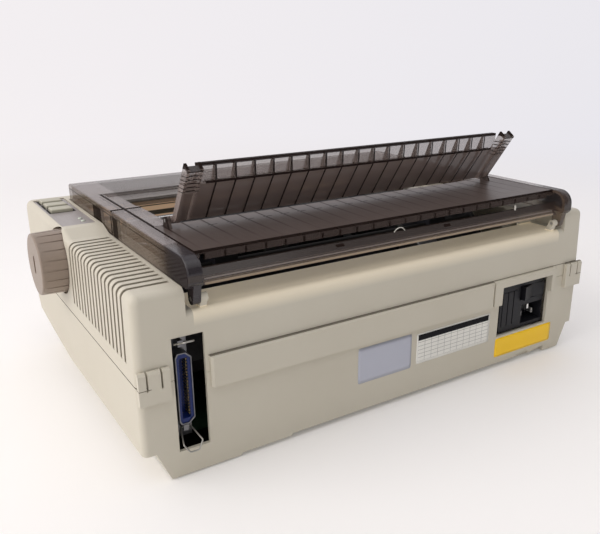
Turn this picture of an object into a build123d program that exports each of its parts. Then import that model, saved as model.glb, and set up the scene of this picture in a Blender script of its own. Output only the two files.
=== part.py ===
from build123d import *
import os
from math import atan2, cos, degrees, hypot, pi, radians, sin

os.makedirs("parts", exist_ok=True)

# A desktop dot matrix printer, in millimetres. X runs across the case, with the platen knob at +X,
# Y from the front to the rear, and Z up from the table, with the origin under the middle of the case.

# ---------------------------------------------------------------- driving dimensions
# case shells
case_width = 391.0
case_depth = 278.4
case_corner_r = 4.0
case_draft = 1.2
wall = 2.6
floor_z = 1.2
parting_z = 67.0
pod_z = 122.5
panel_pod_z = 127.0
step_z = 21.5
plinth_width = 375.0
plinth_slant = 8.5
plinth_front_gap = 27.0
front_bulge_z = 113.0
toe_z = 40.0
toe_setback = 8.2
chin_z = 31.0
chin_setback = 13.0
chin_y = -80.0
belly_z = 19.5
belly_y = -28.0
ramp_rear_y = -2.0
ramp_front_y = -17.0
top_edge_r = 5.0
front_edge_r = 8.0

# the well in the upper case that the covers sit in
well_width = 325.2
well_extra = 9.4
well_front_y = -117.0
ledge_z = 121.5
throat_width = 304.0
throat_front_y = -110.0
throat_rear_y = 108.0
bridge_z = 108.2
bridge_edge_r = 4.0

# raised band, tabs and plate across the rear
band_low_z = 56.9
band_high_z = 77.8
band_proud = 3.2
band_left_x = -91.5
band_right_x = 150.0
seam = 0.3
tab_width = 19.4
tab_slit = 1.2
tab_slit_low_z = 66.0
tab_tongue = 9.0
plate_end_x = -162.6

# openings in the rear wall
connector_gap_x = (152.6, 172.9)
connector_gap_z = (18.3, 93.6)
inlet_gap_x = (-158.8, -100.5)
inlet_gap_z = (28.1, 71.5)
low_edge_x = (93.0, 131.0)
low_edge_lift = 1.5
long_edge_x = (-148.6, 93.0)
long_edge_lift = 3.0
small_notches = (((-141.0, -127.4), 5.0), ((-160.2, -148.6), 4.4))

# vent grooves over the right-hand pod
vent_count = 16
vent_pitch = 7.6
vent_width = 2.4
vent_depth = 1.3
vent_first_y = 6.0
vent_inner_x = 166.0
vent_low_z = 78.0

# feet and screws
foot_r = 9.0
foot_height = 2.6
foot_inset_x = 20.0
foot_inset_y = 30.0
screw_r = 2.0
screw_head_r = 3.8
screw_head_height = 2.6
post_r = 5.5
post_x = 160.0
post_front_y = -95.0
post_rear_y = 90.0
post_joint_z = 60.0
post_counterbore = 6.0

# smoked covers
cover_z = 141.0
cover_wall = 2.2
cover_width = 324.0
rail_width = 9.4
rail_low_z = 122.4
rail_end_reach = 4.3
rail_end_r = 11.0
lid_front_setback = 23.4
lid_front_low_z = 127.3
hinge_gap = 0.6
strip_width = 13.0
slot_rear_y = 63.0
window_width = 302.0
window_front_y = -55.0
window_drop = 1.4
slot_front_y = -31.0
panel_rear_setback = 8.8
panel_lip_z = 135.0
beam_z = 130.3
panel_rib_height = 3.6
cover_pivot_setback = 3.2
cover_pivot_z = 114.5
cover_ear_r = 3.6
cover_ear_x = (153.2, 158.2)
cover_pin_r = 1.4
lid_knuckle_y = 2.2
lid_lug_x = (147.4, 152.4)
lid_pin_r = 0.9
running = 0.05

# raised paper guide: rear face of its sheet from base to ridge to top, in (Y, Z)
guide_base = (72.0, 143.6)
guide_ridge = (92.5, 172.7)
guide_top = (93.2, 184.8)
guide_sheet = 1.8
guide_width = 283.0
guide_end_width = 10.9
guide_end_length = 49.6
guide_end_front = 3.9
guide_end_rear = -2.9
guide_step_start = 42.6
guide_step_pitch = 3.25
guide_step_count = 5
guide_rib_count = 18
guide_rib_pitch = 13.9
guide_rib_width = 1.2
guide_rib_depth = 1.4
guide_gusset = 5.0
guide_pin_r = 1.2
guide_hub_r = 2.6
guide_ear_x = (143.4, 146.4)

# platen and its knob
platen_axis = (-25.0, 101.5)
platen_r = 16.0
platen_length = 250.0
platen_core_r = 12.5
platen_shaft_r = 4.0
knob_r = 23.6
knob_face_r = 23.0
knob_length = 23.0
knob_reach = 213.0
knob_groove_count = 20
knob_groove = 1.0
knob_well_r = 25.2
knob_well_depth = 7.5
shaft_hole_r = 6.5

# chassis of the mechanism
frame_gap = 286.8
frame_sheet = 1.6
frame_low_z = 36.0
pan_z = 40.0
pan_sheet = 1.6
pan_front_y = -112.0
pan_rear_y = 84.0
boss_r = 5.0
boss_front_x = 70.0
boss_front_y = -102.0
boss_rear_x = 88.0
boss_rear_y = 70.0
standoff_r = 3.0
standoff_x = (-50.0, 50.0, 138.0)
standoff_y = (-80.0, 100.0)
bush_r = 7.0
bush_length = 3.2

# carriage, belt and head
rod_r = 6.0
rod_axis = (-70.0, 78.0)
rail_y = -110.0
rail_z = 86.0
rail_lip = 5.0
carriage_width = 44.0
carriage_low_z = 69.0
carriage_high_z = 91.0
belt_y = -93.0
belt_z = 86.0
belt_height = 5.0
belt_thick = 1.2
pulley_r = 6.0
pulley_x = 128.0
carriage_motor_r = 14.0
motor_r = 17.5
motor_height = 24.0
motor_shaft_r = 2.5
pinion_shaft_r = 1.5
head_width = 26.0
head_gap = 0.6
cartridge_width = 96.0

# paper feed gears, all of one module
gear_module = 1.0
gear_width = 4.0
gear_gap = 1.5
pinion_teeth = 12
feed_idler_teeth = 30
platen_teeth = 40
tractor_idler_teeth = 34
tractor_teeth = 24
feed_idler_angle = -70.0
pinion_angle = -20.0
tractor_angle = 9.0

# tractors
tractor_bar = 6.0
tractor_end_r = 2.5
tractor_x = 100.0
tractor_width = 18.0
tractor_cheek = 2.0
tractor_front_y = 20.5
tractor_rear_y = 63.0
tractor_low_z = 99.0
tractor_high_z = 120.0
sprocket_r = 8.5
sprocket_width = 8.0
sprocket_pins = 6
sprocket_pin_r = 1.9
sprocket_pin_height = 4.0
support_rod_r = 3.0
support_rod_axis = (56.5, 104.5)
flap_thick = 1.8
flap_gap = 4.6
flap_clear = 0.3

# pressure rollers, pan and bail
pressure_r = 6.0
pressure_shaft_r = 2.0
pressure_angle = 240.0
pan_gap = 1.2
bail_angle = 115.0
bail_roller_r = 5.0
bail_rod_r = 2.0
bail_pivot = (-52.0, 92.0)
bail_arm = 1.6
bail_pivot_r = 2.5
roller_gap = 0.3

# control panel
console_x = (165.0, 190.4)
console_y = (-126.0, -25.0)
console_drop = 1.9
console_plate = 1.1
button_x = 178.0
button_size = (16.5, 12.0)
button_y = (-116.5, -99.0, -81.5)
button_proud = 2.6
button_gap = 0.35
lamp_x = 172.0
lamp_y = (-46.0, -37.0)
lamp_r = 1.7

# parallel connector and its bails
connector_x = 165.4
connector_z = 58.25
connector_size = (47.5, 10.2)
connector_setback = 2.8
connector_depth = 12.0
contact_count = 18
contact_pitch = 2.16
bail_wire_r = 0.5
bail_clip_width = 12.4
bail_clip_length = 17.3
bail_axle_half = 3.1
hook_half = 1.6
hook_offset = 6.6

# power inlet
inlet_setback = 3.6
inlet_x = (-157.5, -105.8)
inlet_z = (27.0 + 1.6, 68.0)
inlet_depth = 36.0
socket_size = (24.6, 16.5)
socket_x = -144.2
socket_z = 40.0
socket_depth = 15.0
rocker_x = -143.3
rocker_z = 59.0
rocker_size = (28.0, 11.6)
rocker_tilt = 7.0
rocker_pin = (1.2, 7.2)
fuse_x = (-127.0, -108.5)

# electronics
board_z = 12.0
board_thick = 1.6
board_x = (-64.0, 152.0)
board_y = (-94.0, 112.0)
transformer_size = (56.0, 48.0)
transformer_at = (-124.0, 60.0)

# ---------------------------------------------------------------- worked-out places
half_width = case_width / 2
rear_y = case_depth / 2
front_y = -case_depth / 2
rail_end_y = rear_y + rail_end_reach
lid_front_y = front_y + lid_front_setback
panel_rear_y = rear_y - panel_rear_setback
cover_pivot = (rear_y - cover_pivot_setback, cover_pivot_z)
connector_face_y = rear_y - connector_setback
inlet_face_y = rear_y - inlet_setback
floor_top_z = floor_z + wall + 0.4
inner_half = half_width - wall - 1.2
inner_rear_y = rear_y - wall - 0.4
well_half = well_width / 2
throat_half = throat_width / 2
cover_half = cover_width / 2
well_left = -(well_half + well_extra)
cover_left = -(cover_half + well_extra)
rail_inner_x = cover_half - rail_width
slot_half = rail_inner_x - strip_width
cover_low = cover_z - cover_wall
plinth_top_z = chin_z + 2.0
plinth_bottom = plinth_width / 2 - plinth_slant
plinth_top = plinth_width / 2 + plinth_slant * (plinth_top_z - step_z) / (step_z - floor_z)
lid_rear_y = 2 * lid_knuckle_y
frame_half = frame_gap / 2
gear_x = -(frame_half + frame_sheet + gear_gap + gear_width)
platen_y, platen_z = platen_axis


def along_x(x, y=0.0, z=0.0):
    """A plane that faces +X at x, whose own axes are Y and Z, with its origin at (y, z)."""
    return Plane(origin=(x, y, z), x_dir=(0, 1, 0), z_dir=(1, 0, 0))


def facing_rear(y):
    """A plane that faces -Y at y, whose own axes are X and Z: it extrudes towards the front."""
    return Plane.XZ.offset(-y)


boss_spots = [
    (side * x, y)
    for side in (-1, 1)
    for x, y in ((boss_front_x, boss_front_y), (boss_rear_x, boss_rear_y))
]


def block(x, y, z, mode=Mode.ADD):
    """A box between the two ends given on each axis."""
    with Locations(((x[0] + x[1]) / 2, (y[0] + y[1]) / 2, (z[0] + z[1]) / 2)):
        Box(abs(x[1] - x[0]), abs(y[1] - y[0]), abs(z[1] - z[0]), mode=mode)


def rod(x, y, z, radius, mode=Mode.ADD):
    """A round bar along X between the two ends in x."""
    with Locations(((x[0] + x[1]) / 2, y, z)):
        Cylinder(radius, abs(x[1] - x[0]), rotation=(0, 90, 0), mode=mode)


def post(x, y, z, radius, mode=Mode.ADD):
    """A round bar along Z between the two ends in z."""
    with Locations((x, y, (z[0] + z[1]) / 2)):
        Cylinder(radius, abs(z[1] - z[0]), mode=mode)


def both_sides(span):
    """The span in x, and its mirror image across the middle of the case."""
    return (span, (-span[1], -span[0]))


def cover_ends(span):
    """A span of x at the knob's end of the covers, and its image at the end that reaches further."""
    return (span, (-span[1] - well_extra, -span[0] - well_extra))


# ---------------------------------------------------------------- gear places
def gear_centre(start, angle, teeth):
    """The centre of a gear that meshes with one at start, where teeth is the sum of both counts."""
    reach = gear_module * teeth / 2
    return (start[0] + reach * cos(radians(angle)), start[1] + reach * sin(radians(angle)))


def meshed_turn(first, first_teeth, first_turn, second, second_teeth):
    """How far the second gear is turned, so that its gap meets the first gear's tooth."""
    line = degrees(atan2(second[1] - first[1], second[0] - first[0]))
    share = (line - first_turn) * first_teeth / 360
    return line + 180 - (0.5 - share) * 360 / second_teeth


feed_idler_axis = gear_centre(platen_axis, feed_idler_angle, platen_teeth + feed_idler_teeth)
pinion_axis = gear_centre(feed_idler_axis, pinion_angle, feed_idler_teeth + pinion_teeth)
tractor_idler_axis = gear_centre(platen_axis, tractor_angle, platen_teeth + tractor_idler_teeth)
tractor_axis = gear_centre(tractor_idler_axis, tractor_angle, tractor_idler_teeth + tractor_teeth)
feed_idler_turn = meshed_turn(platen_axis, platen_teeth, 0, feed_idler_axis, feed_idler_teeth)
pinion_turn = meshed_turn(
    feed_idler_axis, feed_idler_teeth, feed_idler_turn, pinion_axis, pinion_teeth
)
tractor_idler_turn = meshed_turn(
    platen_axis, platen_teeth, 0, tractor_idler_axis, tractor_idler_teeth
)
tractor_turn = meshed_turn(
    tractor_idler_axis, tractor_idler_teeth, tractor_idler_turn, tractor_axis, tractor_teeth
)


def gear(centre, teeth, turn, bore, hub):
    """A spur gear outside the left side frame, with a hub on its inner face."""
    pitch_r = gear_module * teeth / 2
    root_r = pitch_r - 1.2 * gear_module
    tip_r = pitch_r + 0.85 * gear_module
    half_tooth = gear_module * (pi / 4 - 0.14)
    with BuildPart() as wheel:
        with BuildSketch(along_x(gear_x, *centre)):
            Circle(root_r)
            with PolarLocations(0, teeth, start_angle=turn):
                Polygon(
                    (root_r - 0.4 * gear_module, -1.45 * half_tooth),
                    (pitch_r, -half_tooth),
                    (tip_r, -0.48 * half_tooth),
                    (tip_r, 0.48 * half_tooth),
                    (pitch_r, half_tooth),
                    (root_r - 0.4 * gear_module, 1.45 * half_tooth),
                    align=None,
                )
            Circle(bore, mode=Mode.SUBTRACT)
        extrude(amount=gear_width)
        with BuildSketch(along_x(gear_x + gear_width, *centre)):
            Circle(hub)
            Circle(bore, mode=Mode.SUBTRACT)
        extrude(amount=gear_gap - 0.3)
    return wheel


# ---------------------------------------------------------------- lower case
def front_at(z):
    """Where the leaning front of the case is at a height."""
    return front_y + toe_setback * (front_bulge_z - z) / (front_bulge_z - toe_z)


def lower_side(top_z):
    """The lower case seen from the side: a leaning front, a rising chin and a level rear."""
    Polygon(
        (belly_y, belly_z),
        (rear_y, step_z),
        (rear_y, top_z),
        (front_at(top_z), top_z),
        (front_at(toe_z), toe_z),
        (front_y + chin_setback, chin_z),
        (chin_y, (chin_z + belly_z) / 2 - 0.4),
        align=None,
    )


def upright_edges(piece):
    """The four long edges at the corners of the case that run upwards."""
    return piece.edges().filter_by(
        lambda e: abs(e.center().X) > half_width - 4
        and abs(e.center().Y) > rear_y - 6
        and e.bounding_box().size.Z > 4 * e.bounding_box().size.Y
        and e.bounding_box().size.Z > 4 * e.bounding_box().size.X
    )


with BuildPart() as lower_case:
    with BuildSketch(Plane.YZ.offset(-half_width)):
        lower_side(parting_z)
    extrude(amount=case_width)
    with BuildSketch(facing_rear(rear_y)):
        Polygon(
            (plinth_top, plinth_top_z),
            (plinth_bottom, floor_z),
            (-plinth_bottom, floor_z),
            (-plinth_top, plinth_top_z),
            align=None,
        )
    extrude(amount=case_depth - plinth_front_gap)
    fillet(upright_edges(lower_case), case_corner_r)
    # the tray inside, and the space down in the plinth
    with BuildSketch(Plane.YZ.offset(-half_width + wall)):
        lower_side(parting_z + 2 * wall)
        offset(amount=-wall, mode=Mode.REPLACE)
    extrude(amount=case_width - 2 * wall, mode=Mode.SUBTRACT)
    with BuildSketch(facing_rear(inner_rear_y)):
        Polygon(
            (plinth_top - wall, plinth_top_z + 1),
            (plinth_bottom - wall, floor_top_z),
            (wall - plinth_bottom, floor_top_z),
            (wall - plinth_top, plinth_top_z + 1),
            align=None,
        )
    extrude(amount=case_depth - plinth_front_gap - 2 * wall, mode=Mode.SUBTRACT)
    # raised plate round the inlet, which reaches up into the upper case
    block(
        (plate_end_x, band_left_x - seam),
        (rear_y - wall, rear_y + band_proud),
        (band_low_z, band_high_z - seam),
    )
    # snap tabs at both rear corners, each with a springy tongue between two slits
    for span in both_sides((half_width - tab_width, half_width)):
        block(span, (rear_y - 1, rear_y + band_proud), (band_low_z, parting_z))
        block(span, (rear_y + seam, rear_y + band_proud), (band_low_z, band_high_z))
        middle = (span[0] + span[1]) / 2
        for slit in (middle - tab_tongue / 2, middle + tab_tongue / 2):
            block(
                (slit - tab_slit / 2, slit + tab_slit / 2),
                (rear_y, rear_y + 2 * band_proud),
                (tab_slit_low_z, band_high_z + 1),
                mode=Mode.SUBTRACT,
            )
    rims = lower_case.edges().filter_by(Axis.X).filter_by(
        lambda e: e.center().Z > band_high_z - 1 and e.center().Y > rear_y + band_proud - 0.1
    )
    chamfer(rims, 1.4)
    # openings for the connector and the power inlet, and the notches under the rear edge
    block(connector_gap_x, (inner_rear_y - 2, rear_y + 2), connector_gap_z, mode=Mode.SUBTRACT)
    block(inlet_gap_x, (inner_rear_y - 2, rear_y + 2 * band_proud), inlet_gap_z, mode=Mode.SUBTRACT)
    lifts = [(low_edge_x, low_edge_lift), (long_edge_x, long_edge_lift)]
    lifts += list(small_notches)
    for notch, lift in lifts:
        block(notch, (inner_rear_y - 1, rear_y + 1), (floor_z - 1, floor_z + lift), Mode.SUBTRACT)
    # posts: four for the case screws, four for the mechanism
    for y in (post_front_y, post_rear_y):
        for x in (-post_x, post_x):
            post(x, y, (floor_top_z - 1, post_joint_z), post_r)
            post(x, y, (floor_z - 1, post_joint_z + 1), screw_r + 0.4, mode=Mode.SUBTRACT)
            post(x, y, (floor_z - 1, floor_z + post_counterbore), screw_head_r + 0.3, Mode.SUBTRACT)
    for x, y in boss_spots:
        post(x, y, (floor_top_z - 1, pan_z), boss_r)
    for x in standoff_x:
        for y in standoff_y:
            post(x, y, (floor_top_z - 1, board_z), standoff_r)
    # round seats for the feet
    for y in (front_y + plinth_front_gap + foot_inset_y, rear_y - foot_inset_y):
        for x in (foot_inset_x - plinth_width / 2, plinth_width / 2 - foot_inset_x):
            post(x, y, (floor_z - 1, foot_height), foot_r + seam, mode=Mode.SUBTRACT)

with BuildPart() as rubber_feet:
    for y in (front_y + plinth_front_gap + foot_inset_y, rear_y - foot_inset_y):
        for x in (foot_inset_x - plinth_width / 2, plinth_width / 2 - foot_inset_x):
            post(x, y, (0, foot_height), foot_r)
    chamfer(rubber_feet.edges().group_by(Axis.Z)[0], 0.6)

# ---------------------------------------------------------------- upper case
with BuildPart() as upper_case:
    lean_in = (panel_pod_z - parting_z) * sin(radians(case_draft))
    with BuildSketch(facing_rear(rear_y + 1)):
        Polygon(
            (half_width, parting_z),
            (half_width - lean_in, panel_pod_z),
            (lean_in - half_width, panel_pod_z),
            (-half_width, parting_z),
            align=None,
        )
    extrude(amount=case_depth + 2)
    with BuildSketch(Plane.YZ.offset(-half_width)):
        Polygon(
            (front_at(parting_z), parting_z),
            (rear_y, parting_z),
            (rear_y - lean_in, pod_z),
            (ramp_rear_y, pod_z),
            (ramp_front_y, panel_pod_z),
            (front_y, panel_pod_z),
            (front_y, front_bulge_z),
            align=None,
        )
        fillet(vertices().sort_by_distance((front_y, panel_pod_z))[0], front_edge_r)
        fillet(vertices().sort_by_distance((rear_y, pod_z))[0], top_edge_r)
    extrude(amount=case_width, mode=Mode.INTERSECT)
    rims = upper_case.edges().filter_by(
        lambda e: abs(e.center().X) > half_width - 3 and e.center().Z > parting_z + 0.1
    )
    fillet(rims, top_edge_r)
    lips = upper_case.edges().group_by(Axis.Z)[0]
    chamfer(lips, 0.5)
    # the well for the covers, the throat over the mechanism and the low bridge behind it
    block(
        (well_left, well_half),
        (well_front_y, rear_y + 1),
        (ledge_z, panel_pod_z + 1),
        mode=Mode.SUBTRACT,
    )
    block(
        (well_left, well_half),
        (throat_rear_y, rear_y + 1),
        (bridge_z, ledge_z + 1),
        mode=Mode.SUBTRACT,
    )
    bridge_edge = upper_case.edges().filter_by(Axis.X).filter_by(
        lambda e: abs(e.center().Z - bridge_z) < 0.1 and e.center().Y > rear_y - 4
    )
    fillet(bridge_edge, bridge_edge_r)
    block(
        (-throat_half, throat_half),
        (throat_front_y, throat_rear_y),
        (parting_z - 1, ledge_z + 1),
        mode=Mode.SUBTRACT,
    )
    # the hollow underside: below the ledge and the bridge, and up in the front deck
    low_z = parting_z - 1
    hollow_rear_y = inner_rear_y - 0.8
    with BuildSketch(Plane.YZ.offset(-inner_half)):
        Polygon(
            (front_at(low_z) + wall, low_z),
            (hollow_rear_y, low_z),
            (hollow_rear_y, bridge_z - wall),
            (throat_rear_y - wall, bridge_z - wall),
            (throat_rear_y - wall, ledge_z - wall),
            (well_front_y - wall, ledge_z - wall),
            (well_front_y - wall, panel_pod_z - wall),
            (front_y + front_edge_r, panel_pod_z - wall),
            (front_y + wall, front_bulge_z),
            align=None,
        )
    extrude(amount=2 * inner_half, mode=Mode.SUBTRACT)
    # the pods beside the well, stepped in under their rounded shoulders
    for outer_half, drop in ((inner_half, wall + 3), (inner_half - 3, wall)):
        for span in ((well_half + wall, outer_half), (-outer_half, well_left - wall)):
            with BuildSketch(Plane.YZ.offset(span[0])):
                Polygon(
                    (front_at(low_z) + wall, low_z),
                    (hollow_rear_y, low_z),
                    (hollow_rear_y, pod_z - drop - 3),
                    (hollow_rear_y - 3, pod_z - drop),
                    (ramp_rear_y, pod_z - drop),
                    (ramp_front_y, panel_pod_z - drop),
                    (front_y + front_edge_r, panel_pod_z - drop),
                    (front_y + wall, front_bulge_z),
                    align=None,
                )
            extrude(amount=span[1] - span[0], mode=Mode.SUBTRACT)
    # raised band across the rear, with a skirt that hides the joint
    block((band_left_x, band_right_x), (rear_y, rear_y + band_proud), (band_low_z, band_high_z))
    block((band_left_x, band_right_x), (rear_y - 1.2, rear_y + 1), (parting_z, band_high_z))
    band_rim = upper_case.edges().filter_by(
        lambda e: e.center().Y > rear_y + band_proud - 0.01
        and not e.bounding_box().min.Z < band_low_z + 0.1 - (e.bounding_box().size.Z > 1) * 9
    )
    chamfer(band_rim, 1.6)
    # cut-outs for the connector and for the plate round the inlet
    block(connector_gap_x, (inner_rear_y - 2, rear_y + 2), connector_gap_z, mode=Mode.SUBTRACT)
    block(
        (plate_end_x - seam, band_left_x),
        (inner_rear_y - 2, rear_y + 1),
        (low_z, band_high_z),
        mode=Mode.SUBTRACT,
    )
    # vent grooves that run over the shoulder of the right-hand pod
    outer_x = half_width - (pod_z - parting_z) * sin(radians(case_draft))
    bend_r = top_edge_r - 0.4
    for n in range(vent_count):
        with BuildSketch(facing_rear(vent_first_y + n * vent_pitch + vent_width)):
            with BuildLine():
                Polyline(
                    (outer_x - vent_depth, pod_z - vent_depth - bend_r),
                    (half_width - vent_depth, vent_low_z),
                    (half_width + 2, vent_low_z),
                    (half_width + 2, pod_z + 2),
                    (vent_inner_x, pod_z + 2),
                    (vent_inner_x, pod_z - vent_depth),
                    (outer_x - vent_depth - bend_r, pod_z - vent_depth),
                )
                RadiusArc(
                    (outer_x - vent_depth - bend_r, pod_z - vent_depth),
                    (outer_x - vent_depth, pod_z - vent_depth - bend_r),
                    bend_r,
                )
            make_face()
    extrude(amount=vent_width, mode=Mode.SUBTRACT)
    # round well for the knob, with the shaft hole in its floor
    well_x = half_width - knob_well_depth
    with BuildSketch(along_x(well_x - wall, platen_y, platen_z)):
        Circle(knob_well_r + wall)
        with Locations((0, pod_z - wall - platen_z - knob_well_r)):
            Rectangle(4 * knob_well_r, 2 * knob_well_r, mode=Mode.INTERSECT)
    extrude(amount=half_width - well_x)
    rod((well_x, half_width + 1), platen_y, platen_z, knob_well_r, mode=Mode.SUBTRACT)
    rod((well_x - 2 * wall, half_width), platen_y, platen_z, shaft_hole_r, mode=Mode.SUBTRACT)
    # pocket for the control panel, open below where the buttons and lamps pass
    block(console_x, console_y, (panel_pod_z - console_drop, panel_pod_z + 1), Mode.SUBTRACT)
    block(
        (console_x[0] + wall, console_x[1] - wall),
        (console_y[0] + wall, console_y[1] - wall),
        (panel_pod_z - 2 * wall, panel_pod_z + 1),
        mode=Mode.SUBTRACT,
    )
    # posts for the case screws, and lugs for the cover's hinge pins
    for y in (post_front_y, post_rear_y):
        for x in (-post_x, post_x):
            post(x, y, (post_joint_z, pod_z - wall + 0.5), post_r)
            post(x, y, (post_joint_z - 1, parting_z + 20), screw_r, mode=Mode.SUBTRACT)
    for span in cover_ends((cover_ear_x[0] - 0.6 - 4.5, cover_ear_x[0] - 0.6)):
        with BuildSketch(Plane.YZ.offset(span[0])):
            with Locations(cover_pivot):
                Circle(cover_ear_r - 0.9)
            with BuildLine():
                Polyline(
                    (cover_pivot[0] - cover_ear_r - 3, bridge_z - 1),
                    (rear_y - bridge_edge_r, bridge_z - 1),
                    (cover_pivot[0] + cover_ear_r - 1.4, cover_pivot[1]),
                    (cover_pivot[0] - cover_ear_r + 1.4, cover_pivot[1]),
                    close=True,
                )
            make_face()
            with Locations(cover_pivot):
                Circle(cover_pin_r + running, mode=Mode.SUBTRACT)
        extrude(amount=4.5)

with BuildPart() as case_screws:
    for y in (post_front_y, post_rear_y):
        for x in (-post_x, post_x):
            head_z = floor_z + post_counterbore
            post(x, y, (head_z - screw_head_height, head_z), screw_head_r)
            post(x, y, (head_z, parting_z + 14), screw_r)

# ---------------------------------------------------------------- control panel
with BuildPart() as control_panel:
    plate_z = panel_pod_z - console_drop
    block(
        (console_x[0] + 0.2, console_x[1] - 0.2),
        (console_y[0] + 0.2, console_y[1] - 0.2),
        (plate_z, plate_z + console_plate),
    )
    for y in button_y:
        block(
            (button_x - button_size[0] / 2 - button_gap, button_x + button_size[0] / 2 + button_gap),
            (y - button_size[1] / 2 - button_gap, y + button_size[1] / 2 + button_gap),
            (plate_z - 1, plate_z + 2),
            mode=Mode.SUBTRACT,
        )
    for y in lamp_y:
        post(lamp_x, y, (plate_z - 1, plate_z + 2), lamp_r + 0.1, mode=Mode.SUBTRACT)
    # switch board that hangs below the plate and carries the buttons' springs
    for y in ((button_y[0] + button_y[1]) / 2, (button_y[1] + button_y[2]) / 2, lamp_y[0] - 13):
        post(button_x, y, (plate_z - 9, plate_z + 0.2), 1.6)
    board_end_y = lamp_y[0] - 9
    block(
        (console_x[0] + wall + 0.5, console_x[1] - wall - 0.5),
        (console_y[0] + wall + 0.5, board_end_y),
        (plate_z - 10, plate_z - 8.6),
    )


def button(y):
    """A long key with a flange that holds it under the panel and a stem for its switch."""
    top_z = plate_z + console_plate + button_proud
    half_x, half_y = (size / 2 for size in button_size)
    block((button_x - half_x, button_x + half_x), (y - half_y, y + half_y), (plate_z - 2.4, top_z))
    block(
        (button_x - half_x - 0.8, button_x + half_x + 0.8),
        (y - half_y - 0.8, y + half_y + 0.8),
        (plate_z - 2.4, plate_z - 0.2),
    )
    post(button_x, y, (plate_z - 6.4, plate_z - 2), 2.4)


with BuildPart() as select_button:
    button(button_y[0])
    fillet(select_button.edges().group_by(Axis.Z)[-1], 1.0)

with BuildPart() as form_feed_button:
    button(button_y[1])
    fillet(form_feed_button.edges().group_by(Axis.Z)[-1], 1.0)

with BuildPart() as line_feed_button:
    button(button_y[2])
    fillet(line_feed_button.edges().group_by(Axis.Z)[-1], 1.0)

with BuildPart() as panel_lamps:
    for y in lamp_y:
        post(lamp_x, y, (plate_z - 6.0, plate_z + console_plate + 0.8), lamp_r)
    fillet(panel_lamps.edges().group_by(Axis.Z)[-1], 0.8)

# ---------------------------------------------------------------- rear cover
def rail_side(inset, low_z):
    """A rail of the rear cover seen from the side, with its rounded rear end."""
    top_z = cover_z - inset
    end_y = rail_end_y - inset
    start_y = lid_rear_y + hinge_gap - inset
    Polygon(
        (end_y, top_z),
        (end_y, rail_low_z + 3.4),
        (end_y - 3.2, low_z),
        (start_y, low_z),
        (start_y, top_z),
        align=None,
    )
    fillet(vertices().group_by(Axis.Y)[-1].sort_by(Axis.X)[-1], rail_end_r - inset)


with BuildPart() as rear_cover:
    for span in cover_ends((rail_inner_x, cover_half)):
        with BuildSketch(Plane.YZ.offset(span[0])):
            rail_side(0, rail_low_z)
        extrude(amount=rail_width)
    for span in cover_ends((rail_inner_x - 1, cover_half - cover_wall)):
        with BuildSketch(Plane.YZ.offset(span[0])):
            rail_side(cover_wall, rail_low_z - 1)
        extrude(amount=rail_width - cover_wall + 1, mode=Mode.SUBTRACT)
    outer_rims = rear_cover.edges().filter_by(Axis.Y).filter_by(
        lambda e: e.center().Z > cover_z - 0.1
        and (e.center().X > cover_half - 0.1 or e.center().X < cover_left + 0.1)
    )
    fillet(outer_rims, 1.2)
    # side strips beside the paper slot, with a lip that stiffens each of them
    for span in ((slot_half, rail_inner_x + 1), (cover_left + rail_width - 1, -slot_half)):
        block(span, (lid_rear_y + hinge_gap, slot_rear_y), (cover_low, cover_z))
    for span in both_sides((slot_half, slot_half + 1.8)):
        block(span, (lid_rear_y + hinge_gap, slot_rear_y), (cover_low - 4, cover_z - 1))
    for span in cover_ends((rail_inner_x - 0.3, rail_inner_x + 0.3)):
        block(
            span,
            (lid_rear_y + hinge_gap - 1, slot_rear_y + 0.2),
            (cover_z - 0.7, cover_z + 1),
            mode=Mode.SUBTRACT,
        )
    # ledges that carry the rear panel, and the slanted beam across the rear
    for span in cover_ends((rail_inner_x - 4, rail_inner_x + 3)):
        block(span, (slot_rear_y - 2, panel_rear_y), (cover_low - 2.2, cover_low))
    with BuildSketch(Plane.YZ.offset(cover_left + cover_wall)):
        with BuildLine():
            Polyline(
                (panel_rear_y - 2, beam_z),
                (panel_rear_y + 0.6, beam_z),
                (rear_y - 2.0, rail_low_z + 1.8),
                (rear_y - 2.0, rail_low_z - 0.6),
                (rear_y - 4.2, rail_low_z - 0.6),
                close=True,
            )
        make_face()
    extrude(amount=cover_half - cover_left - 2 * cover_wall)
    # ears for the rear hinge
    for span in cover_ends(cover_ear_x):
        with BuildSketch(Plane.YZ.offset(span[0])):
            with Locations(cover_pivot):
                Circle(cover_ear_r)
            with BuildLine():
                Polyline(
                    (cover_pivot[0] - cover_ear_r, cover_pivot[1]),
                    (cover_pivot[0] + cover_ear_r, cover_pivot[1]),
                    (rail_end_y - 1, rail_low_z + 4),
                    (panel_rear_y, rail_low_z + 7),
                    close=True,
                )
            make_face()
        extrude(amount=cover_ear_x[1] - cover_ear_x[0])
    rod((cover_left, cover_half), *cover_pivot, cover_pin_r, mode=Mode.SUBTRACT)
    # lugs that hold the front lid's pins
    for span in cover_ends(lid_lug_x):
        with BuildSketch(Plane.YZ.offset(span[0])):
            with Locations((lid_knuckle_y, cover_low)):
                Circle(cover_wall)
            with Locations((lid_knuckle_y + 3, cover_low)):
                Rectangle(6, 2 * cover_wall)
        extrude(amount=lid_lug_x[1] - lid_lug_x[0])
    rod((cover_left, cover_half), lid_knuckle_y, cover_low, lid_pin_r, mode=Mode.SUBTRACT)

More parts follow.
